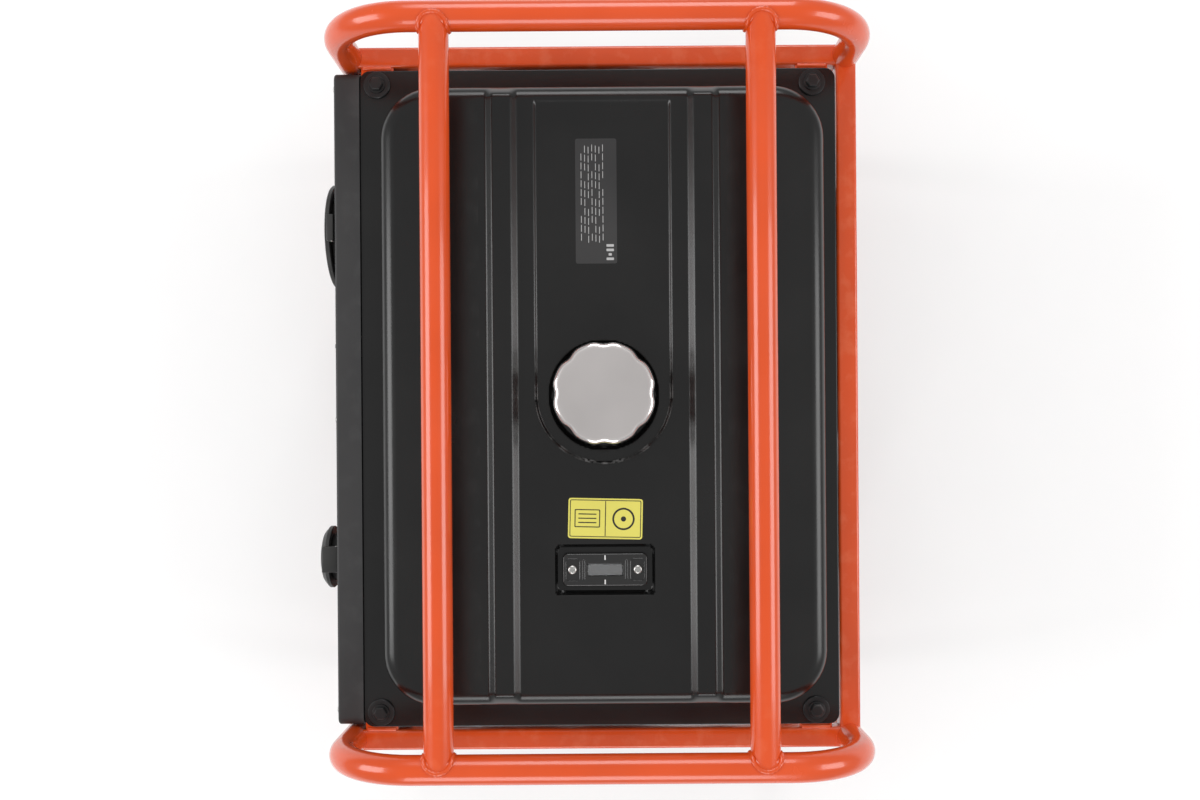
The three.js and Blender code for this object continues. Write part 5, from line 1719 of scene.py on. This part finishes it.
    def starter(self) -> None:
        """Makes the recoil starter's cover with radial slots and the rope guide."""
        low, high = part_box("starter_cover")
        at = Vector((low.x, self.crank.y, self.crank.z))
        deep = (high.x - low.x) / MM
        r = 95.0
        profile = [
            (73, 6), (73, 0.5), (r - 1, 0), (r, 1), (r, 9), (r - 2, 12), (r - 9, deep - 7),
            (r - 14, deep - 2), (r - 20, deep),
        ]
        profile += [(66, deep), (60, deep - 1.5), (30, deep - 1.5), (26, deep), (8, deep)]
        cover = Bench.turned("starter_dish", Axis.X, at, profile, 96)
        cavity = Bench.turned("cavity", Axis.X, at, [(72, -2), (72, deep - 6), (64, deep - 4)], 72)
        Bench.cut(cover, cavity)
        slot = Bench.block(
            "slot",
            at + Vector((deep - 8, -3, 33)) * MM,
            at + Vector((deep + 3, 3, 57)) * MM,
            2.9,
            Axis.X,
            0,
            5,
        )
        Bench.cut(cover, *Bench.ring(slot, Axis.X, at, 16, "slot"))
        handle = centre("starter_handle")
        guide_low = (low.x + 0.5 * MM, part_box("starter_cover")[0].y, handle.z - 12 * MM)
        guide = Bench.block(
            "guide", guide_low, (high.x - 4 * MM, self.crank.y - 72 * MM, handle.z + 12 * MM), 5, Axis.Y,
            1.5,
        )
        hole = Bench.turned("hole", Axis.Y, (handle.x, self.crank.y, handle.z), [(4, -110), (4, -60)], 24)
        Bench.cut(guide, hole)
        dress(Bench.join("starter_dish", cover, guide), TANK_BLACK, MACHINE, "starter_cover")
        emblem = Bench.turned(
            "starter_badge", Axis.X, (high.x, self.crank.y, self.crank.z),
            [(20, -0.6), (20, 0.1), (19, 0.2), (6, 0.2)], 56,
        )
        dress(emblem, CAP_TOP)

    def handle(self) -> None:
        """Makes the starter grip, its collar and the stretch of rope."""
        low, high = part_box("starter_handle")
        x, z = centre("starter_handle").x, centre("starter_handle").z
        y = low.y + 11 * MM
        half = (high.z - low.z) / 2 / MM
        profile = [
            (5, -half), (8, -half + 1), (10.6, -half + 6), (10.8, -half + 12), (9.6, -half + 26), (9, 0)
        ]
        profile += [(9.6, half - 26), (10.8, half - 12), (10.6, half - 6), (8, half - 1), (5, half)]
        grip = Bench.turned("starter_grip", Axis.Z, (x, y, z), profile, 40)
        neck = Bench.turned("neck", Axis.Y, (x, y, z), [(6.5, 2), (7.8, 7), (7.8, 18), (6, 21.6)], 32)
        rope = Bench.tube("rope", [(x, y + 18 * MM, z), (x, high.y, z)], 2.4, 0, 16)
        whole = dress(Bench.join("starter_grip", grip, neck, rope), PLASTIC, "handle", "starter_handle")
        tint(whole, WHITE, lambda point, normal: point.y > y + 21.7 * MM)

    def dipstick(self) -> None:
        """Makes the oil filler cap with its wings and the dipstick's blade."""
        low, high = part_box("oil_dipstick")
        at = Vector((centre("oil_dipstick").x, high.y, centre("oil_dipstick").z))
        face = (self.crank.y - 88 * MM - high.y) / MM
        cap = Bench.turned(
            "oil_filler_cap", Axis.Y, at,
            [(15, face - 0.4), (15, face - 12), (13.5, face - 14), (8, face - 14.4)], 24,
        )
        wing = Bench.block(
            "wing", at + Vector((-12, face - 22, -2.6)) * MM, at + Vector((12, face - 11, 2.6)) * MM, 0,
            Axis.Y, 1.8,
        )
        stem = Bench.turned(
            "stem", Axis.Y, at, [(9, face - 1), (10, face), (10, face + 9), (9, face + 10)], 32
        )
        blade = Bench.block(
            "blade", at + Vector((-3, face + 5, -0.8)) * MM, at + Vector((3, 0, 0.8)) * MM, 0, Axis.Y, 0.3
        )
        whole = Bench.join("oil_filler_cap", cap, wing, stem, blade)
        dress(whole, PLASTIC, "dipstick", "oil_dipstick")

    def intake(self) -> None:
        """Makes the air cleaner, its duct, the carburettor and the choke lever."""
        low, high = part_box("air_box")
        x1 = self.bore_x + 64.5 * MM
        box_low = Vector((low.x, low.y, self.crank.z + 87 * MM))
        box_high = Vector((x1, low.y + 128 * MM, high.z))
        case = Bench.block("air_cleaner", box_low, box_high, 16, Axis.Z, 3, 8)
        seam_z = (box_low.z + box_high.z) / 2 + 8 * MM
        band = Vector((1.6, 1.6, 0)) * MM
        seam = Bench.block(
            "seam", (*(box_low - band).xy, seam_z), (*(box_high + band).xy, seam_z + 5 * MM), 17, Axis.Z,
            1.2, 8,
        )
        carb_low, carb_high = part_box("carburettor")
        carb = Vector(
            ((carb_low.x + carb_high.x) / 2, (carb_low.y + carb_high.y) / 2, carb_high.z - 27 * MM)
        )
        inlet = carb_high.x + 0.3 * MM
        back, z = box_high.y, self.crank.z + 134 * MM
        corners = [
            (self.bore_x + 38.5 * MM, back - 8 * MM, z),
            (self.bore_x + 38.5 * MM, back + 30 * MM, z),
            (inlet + 30 * MM, back + 70 * MM, z),
            (inlet + 30 * MM, carb.y, z),
            (inlet + 30 * MM, carb.y, carb.z),
            (inlet, carb.y, carb.z),
        ]
        duct = Bench.tube("duct", corners, 17, 24, 32, 8)
        dress(Bench.join("air_cleaner", case, seam, duct), PLASTIC, MACHINE, "air_box")
        for index, x in enumerate((-30, 30)):
            at = Vector((self.bore_x + x * MM, box_low.y, seam_z + 2.5 * MM))
            clip = Bench.block(
                "clip", at + Vector((-8, -3.6, -16)) * MM, at + Vector((8, -0.6, 12)) * MM, 0, Axis.X, 1.2
            )
            dress(Bench.settle(clip, f"cleaner_clip_{index}"), ZINC)
        throat = Bench.turned("carb_body", Axis.X, carb, [(16, -22), (19, -21), (19, 21), (16, 22)], 40)
        flange = Bench.block(
            "flange", carb + Vector((-22, -30, -20)) * MM, carb + Vector((-16, 30, 20)) * MM, 9, Axis.X, 1
        )
        bowl = Bench.turned(
            "bowl", Axis.Z, carb + Vector((-2, 0, 0)) * MM,
            [(15, -52), (18.5, -50), (20, -46), (20, -15), (18, -12)], 40,
        )
        top = Bench.block(
            "top", carb + Vector((-16, -16, 6)) * MM, carb + Vector((18, 16, 24)) * MM, 4, Axis.Z, 1.5
        )
        union = Bench.turned(
            "union", Axis.Z, carb + Vector((0, -6, 0)) * MM, [(4, 22), (4, 24), (3, 24.5), (3, 27)], 20
        )
        dress(Bench.join("carb_body", throat, flange, bowl, top, union), CAST, MACHINE, "carburettor")
        joint = next(j for j in frame["joints"] if j["name"] == "choke_turn")
        pivot = Vector(joint["pos_m"])
        z0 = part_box("choke_lever")[0].z
        at = Vector((pivot.x, pivot.y, z0))
        hub = Bench.turned("choke_arm", Axis.Z, at, [(5.6, 0), (6, 0.4), (6, 4.2), (5.6, 4.6)], 32)
        arm = Bench.block(
            "arm", at + Vector((-4, -46, 0.7)) * MM, at + Vector((4, 0, 3.4)) * MM, 0, Axis.Z, 0.5
        )
        knob = Bench.turned(
            "knob", Axis.Z, at + Vector((0, -44, 0)) * MM, [(5.4, 0.6), (6, 1.2), (6, 7.6), (5, 8.4)], 32
        )
        choke = dress(Bench.join("choke_arm", hub, arm, knob), ZINC, "choke", "choke_lever")
        tint(choke, PLASTIC, lambda point, normal: point.y < at.y - 37.9 * MM)

    def fuel_line(self) -> None:
        """Makes the fuel tap, its lever and the hose with a spring clip at the tap."""
        low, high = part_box("fuel_tap_body")
        joint = next(j for j in frame["joints"] if j["name"] == "fuel_tap_turn")
        lever_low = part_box("fuel_tap_lever")[0]
        pivot = Vector((0, joint["pos_m"][1], joint["pos_m"][2]))
        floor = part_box("tank_lower_shell")[0].z
        at = Vector((low.x + 11 * MM, pivot.y, floor))
        body = Bench.turned(
            "tap_valve", Axis.Z, at, [(7, -32), (9.5, -31), (11, -29), (11, -3), (8, -0.3), (5, 0), (5, 8)],
            32,
        )
        outlet = Bench.turned(
            "outlet", Axis.Y, at + Vector((0, 0, -24)) * MM, [(3, 0), (3, 12), (3.4, 14), (2.6, 24)], 24
        )
        boss = Bench.turned("boss", Axis.X, at + Vector((0, 0, -14)) * MM, [(8, 0), (8, 14), (7.2, 15)], 32)
        dress(Bench.join("tap_valve", body, outlet, boss), CAST, MACHINE, "fuel_tap_body")
        hub_at = Vector((lever_low.x, pivot.y, pivot.z))
        hub = Bench.turned("tap_handle", Axis.X, hub_at, [(6.4, 0), (7, 0.6), (7, 5.2), (6.4, 6)], 32)
        blade = Bench.block(
            "blade", (lever_low.x + 1 * MM, pivot.y - 4 * MM, lever_low.z),
            (lever_low.x + 5 * MM, pivot.y + 4 * MM, pivot.z), 0, Axis.X, 1.2,
        )
        dress(Bench.join("tap_handle", hub, blade), RED, "tap_lever", "fuel_tap_lever")
        hose_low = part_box("fuel_hose")[0]
        carb_low, carb_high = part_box("carburettor")
        x1 = (carb_low.x + carb_high.x) / 2
        y1 = (carb_low.y + carb_high.y) / 2 - 6 * MM
        level = floor - 10 * MM
        start = Vector((at.x, hose_low.y, floor - 24 * MM))
        corners = [
            start,
            start + Vector((0, 30, 0)) * MM,
            (start.x, start.y + 50 * MM, level),
            (start.x, 61.75 * MM, level),
            (x1, y1, level),
            (x1, y1, hose_low.z if hose_low.z > carb_high.z - 1 * MM else carb_high.z + 0.5 * MM),
        ]
        dress(Bench.tube("fuel_pipe", corners, 4, 12, 24, 8), RUBBER, MACHINE, "fuel_hose")
        clip = [(4.3, 4), (5, 4), (5, 9), (4.3, 9)]
        dress(Bench.turned("hose_clip_tap", Axis.Y, start, clip, 28), ZINC)


# ------------------------------------------------------------------ muffler and alternator
@dataclass
class Exhaust:
    """The muffler, its pipe, its outlet and its slotted guard."""

    def build(self) -> None:
        """Builds and dresses the muffler and the guard."""
        low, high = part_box("muffler")
        guard_low, guard_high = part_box("muffler_guard")
        start, end = guard_low.x - 6 * MM, guard_high.x + 6 * MM
        body_low, body_high = Vector((start, low.y, low.z)), Vector((end, high.y, high.z))
        body = Bench.block("silencer", body_low, body_high, 30, Axis.X, 4, 12)
        seams = [body]
        for x in (start + 14 * MM, end - 18 * MM):
            band = Vector((0, 1.4, 1.4)) * MM
            first = Vector((x, low.y, low.z)) - band
            last = Vector((x + 4 * MM, high.y, high.z)) + band
            seams.append(Bench.block("seam", first, last, 31, Axis.X, 1, 12))
        middle = Vector((end, centre("carburettor").y, centre("crankcase").z))
        joint = next(j for j in frame["joints"] if j["name"] == "piston_slide")
        way = -Vector(joint["axis"])
        crank = Vector(next(j for j in frame["joints"] if j["name"] == "crank_spin")["pos_m"])
        port = Vector((0, crank.y, crank.z)) + way * 184.3 * MM
        pipe_profile = [
            (15, -4), (15, (high.x - end) / MM - 6), (21, (high.x - end) / MM - 6),
            (21, (high.x - end) / MM),
        ]
        seams.append(Bench.turned("pipe", Axis.X, (middle.x, port.y, port.z), pipe_profile, 40))
        out_y, out_z = (low.y + high.y) / 2 + 14 * MM, (low.z + high.z) / 2 - 12 * MM
        depth = (start - low.x) / MM
        outlet = [(13, 3), (13, -depth + 1), (12.6, -depth), (11.4, -depth), (11, -depth + 1), (11, 1)]
        seams.append(Bench.turned("outlet", Axis.X, (start, out_y, out_z), outlet, 40))
        dress(Bench.join("silencer", *seams), HEAT_BLACK, MACHINE, "muffler")
        self.guard(guard_low, guard_high)

    def guard(self, low: Vector, high: Vector) -> None:
        """Folds the guard and punches its slots.

        Args:
            low: the guard's lowest corner.
            high: its highest corner.
        """
        wall = 2 * MM
        sheet = Bench.block("heat_guard", low, high, 7, Axis.X, 0, 8)
        Bench.cut(
            sheet,
            Bench.block(
                "inside", low - Vector((1, 20, 20)) * MM, high - Vector((-1 * MM, wall, wall)), 5, Axis.X
            ),
        )
        slots = []
        count = 10
        pitch = (high.x - low.x) / (count + 1)
        for index in range(count):
            x = low.x + pitch * (index + 1)
            for z in (low.z + 18 * MM, low.z + 62 * MM):
                slots.append(
                    Bench.block(
                        "slot", (x - 5 * MM, high.y - 6 * MM, z),
                        (x + 5 * MM, high.y + 2 * MM, z + 32 * MM), 4.8, Axis.Y, 0, 5,
                    )
                )
            slots.append(
                Bench.block(
                    "slot", (x - 5 * MM, low.y + 22 * MM, high.z - 6 * MM),
                    (x + 5 * MM, high.y - 20 * MM, high.z + 2 * MM), 4.8, Axis.Z, 0, 5,
                )
            )
        Bench.cut(sheet, *slots)
        dress(sheet, HEAT_BLACK, MACHINE, "muffler_guard")


@dataclass
class Alternator:
    """The stator with its brackets and through-bolts, and the vented end cover."""

    def build(self) -> None:
        """Builds and dresses the alternator."""
        low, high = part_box("stator_housing")
        crank = Vector(next(j for j in frame["joints"] if j["name"] == "crank_spin")["pos_m"])
        at = Vector((0, crank.y, crank.z))
        x0, x1 = low.x / MM, high.x / MM
        r = (high.y - low.y) / 2 / MM
        end_bracket = [
            (88, x0 + 2), (r - 1, x0), (r, x0 + 1), (r, x0 + 34), (r - 3, x0 + 38), (90, x0 + 40)
        ]
        bell = [
            (90, x1 - 72), (r - 3, x1 - 70), (r, x1 - 66), (r, x1 - 42), (r - 10, x1 - 2), (r - 12, x1),
            (88, x1),
        ]
        brackets = [
            Bench.turned("alternator_brackets", Axis.X, at, end_bracket, 96),
            Bench.turned("bell", Axis.X, at, bell, 96),
        ]
        pad = centre("base_beam_alternator").x
        foot_low = (pad - 24 * MM, crank.y - 92 * MM, low.z)
        foot = Bench.block(
            "foot", foot_low, (pad + 24 * MM, crank.y + 92 * MM, low.z + 16 * MM), 6, Axis.Z, 2
        )
        web = Bench.block(
            "web", (pad - 16 * MM, crank.y - 70 * MM, low.z + 10 * MM),
            (pad + 16 * MM, crank.y + 70 * MM, low.z + 42 * MM), 0, Axis.Z, 3,
        )
        fins = []
        fin = Bench.block(
            "fin", at + Vector((x0 + 8, -1.5, r - 4)) * MM, at + Vector((x0 + 30, 1.5, r + 0.0)) * MM, 0,
            Axis.X, 0.8,
        )
        fins = Bench.ring(fin, Axis.X, at, 24, "fin")
        dress(
            Bench.join("alternator_brackets", *brackets, foot, web, *fins), CAST, MACHINE, "stator_housing"
        )
        stack = [(90, x0 + 36)]
        station = x0 + 37.0
        while station < x1 - 72:
            stack += [
                (r - 5, station), (r - 4, station + 0.6), (r - 4, station + 4.4), (r - 5, station + 5)
            ]
            station += 6
        stack.append((90, x1 - 69))
        dress(Bench.turned("lamination_stack", Axis.X, at, stack, 96), LAMINATION)
        spot = at + Vector((x0 + 34, 0, r - 1)) * MM
        rod = Bench.turned("tie_rod_0", Axis.X, spot, [(3, 0), (3, x1 - x0 - 100)], 16)
        rods = Bench.ring(rod, Axis.X, at, 4, "tie_rod")
        turn = Matrix.Translation(at) @ Matrix.Rotation(math.radians(45), 4, "X") @ Matrix.Translation(-at)
        for index, piece in enumerate(rods):
            piece.data.transform(turn)
            dress(Bench.settle(piece, f"tie_rod_{index}"), ZINC)
        coat_node("rotor", COPPER)
        self.end_cover(at)

    def end_cover(self, at: Vector) -> None:
        """Makes the end cover with its vent slots and screws.

        Args:
            at: a point on the crankshaft's axis at X = 0.
        """
        low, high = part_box("alternator_end_cover")
        x0, x1 = low.x / MM, high.x / MM
        r = (high.y - low.y) / 2 / MM
        profile = [(r - 8, x1), (r - 8, x1 - 30), (r - 14, x0 + 8), (r - 30, x0 + 3), (10, x0 + 3)]
        profile = [(r - 8, x1)] + [
            (r, x1), (r, x1 - 12), (r - 1, x0 + 20), (r - 5, x0 + 10), (r - 12, x0 + 3), (r - 20, x0),
            (40, x0), (36, x0 + 1.5), (10, x0 + 1.5),
        ]
        cover = Bench.turned("end_bell", Axis.X, at, profile, 96)
        Bench.cut(
            cover,
            Bench.turned("inside", Axis.X, at, [(r - 8, x1 + 2), (r - 8, x1 - 30), (r - 22, x0 + 5)], 72),
        )
        slot = Bench.block(
            "slot", at + Vector((x0 - 2, -2.6, 46)) * MM, at + Vector((x0 + 8, 2.6, 76)) * MM, 2.5, Axis.X,
            0, 5,
        )
        Bench.cut(cover, *Bench.ring(slot, Axis.X, at, 20, "slot"))
        side = Bench.block(
            "vent", at + Vector((x0 + 26, -4, r - 14)) * MM, at + Vector((x0 + 44, 4, r + 3)) * MM
        )
        Bench.cut(cover, *Bench.ring(side, Axis.X, at, 16, "vent"))
        dress(cover, TANK_BLACK, MACHINE, "alternator_end_cover")
        for index, (y, z) in enumerate(((0, 1), (0, -1))):
            spot = at + Vector((x0 + 1.5, y, z * 24)) * MM
            dress(screw(f"cover_screw_{index}", Axis.X, spot, 8, -1), ZINC)


# ------------------------------------------------------------------ studio
@dataclass
class Studio:
    """The pale floor, the soft lights and the camera above the generator."""

    height: float = 1.617
    offset: float = 0.050
    lens: float = 35.98
    roll: float = 89.58
    shift: float = 0.040

    def build(self) -> None:
        """Makes the floor, the lights and the camera."""
        bpy.context.scene.view_settings.view_transform = "Standard"
        self.floor()
        self.lights()
        self.camera()

    def floor(self) -> None:
        """Makes the pale floor."""
        Bench.clear()
        bpy.ops.mesh.primitive_plane_add(size=14, location=(0, 0, -0.0005))
        floor = Bench.settle(bpy.context.object, "studio_floor")
        finish = Finish(
            "studio floor paint", (0.94, 0.94, 0.94), 0.9, vary=0.01, bump=0.0, wear=0.0, dust=0.0
        )
        floor.data.materials.append(finish.material())

    @staticmethod
    def _area(name: str, at: Point, size: float, power: float) -> None:
        """Hangs a square soft light that looks at the generator."""
        Bench.clear()
        bpy.ops.object.light_add(type="AREA", location=at)
        lamp = bpy.context.object
        lamp.name = name
        lamp.data.energy = power
        lamp.data.size = size
        lamp.rotation_euler = (Vector((0, 0, 0.35)) - Vector(at)).to_track_quat("-Z", "Y").to_euler()

    def lights(self) -> None:
        """Lights the set softly from above and in front, with a bright pale surround."""
        world = bpy.data.worlds.new("studio surround")
        world.use_nodes = True
        world.node_tree.nodes["Background"].inputs["Color"].default_value = (1, 1, 1, 1)
        world.node_tree.nodes["Background"].inputs["Strength"].default_value = 0.5
        bpy.context.scene.world = world
        self._area("front_light", (0.0, -2.3, 1.9), 1.5, 34)
        self._area("back_light", (0.1, 2.4, 2.0), 1.5, 30)
        self._area("left_light", (-2.5, 0.1, 1.9), 1.4, 27)
        self._area("right_light", (2.5, -0.1, 1.9), 1.4, 24)

    def camera(self) -> None:
        """Places the camera straight above, with the panel to the left of the view."""
        Bench.clear()
        row_middle = centre("hoop_right").y
        bpy.ops.object.camera_add(
            location=(self.offset, row_middle, self.height),
            rotation=(0, 0, math.radians(self.roll)),
        )
        camera = bpy.context.object
        camera.data.lens = self.lens
        camera.data.sensor_width = 36
        camera.data.shift_y = self.shift
        camera.data.clip_start = 0.05
        camera.data.clip_end = 40
        bpy.context.scene.camera = camera


def main() -> None:
    """Builds the generator's looks in order, then the studio round it."""
    logging.basicConfig(level=logging.INFO, format="%(name)s %(message)s")
    for assembly in (TubularFrame(), FuelTank(), SocketPanel(), Engine(), Exhaust(), Alternator()):
        log.info("building %s", type(assembly).__name__)
        assembly.build()
    Studio().build()


if __name__ == "__main__":
    main()
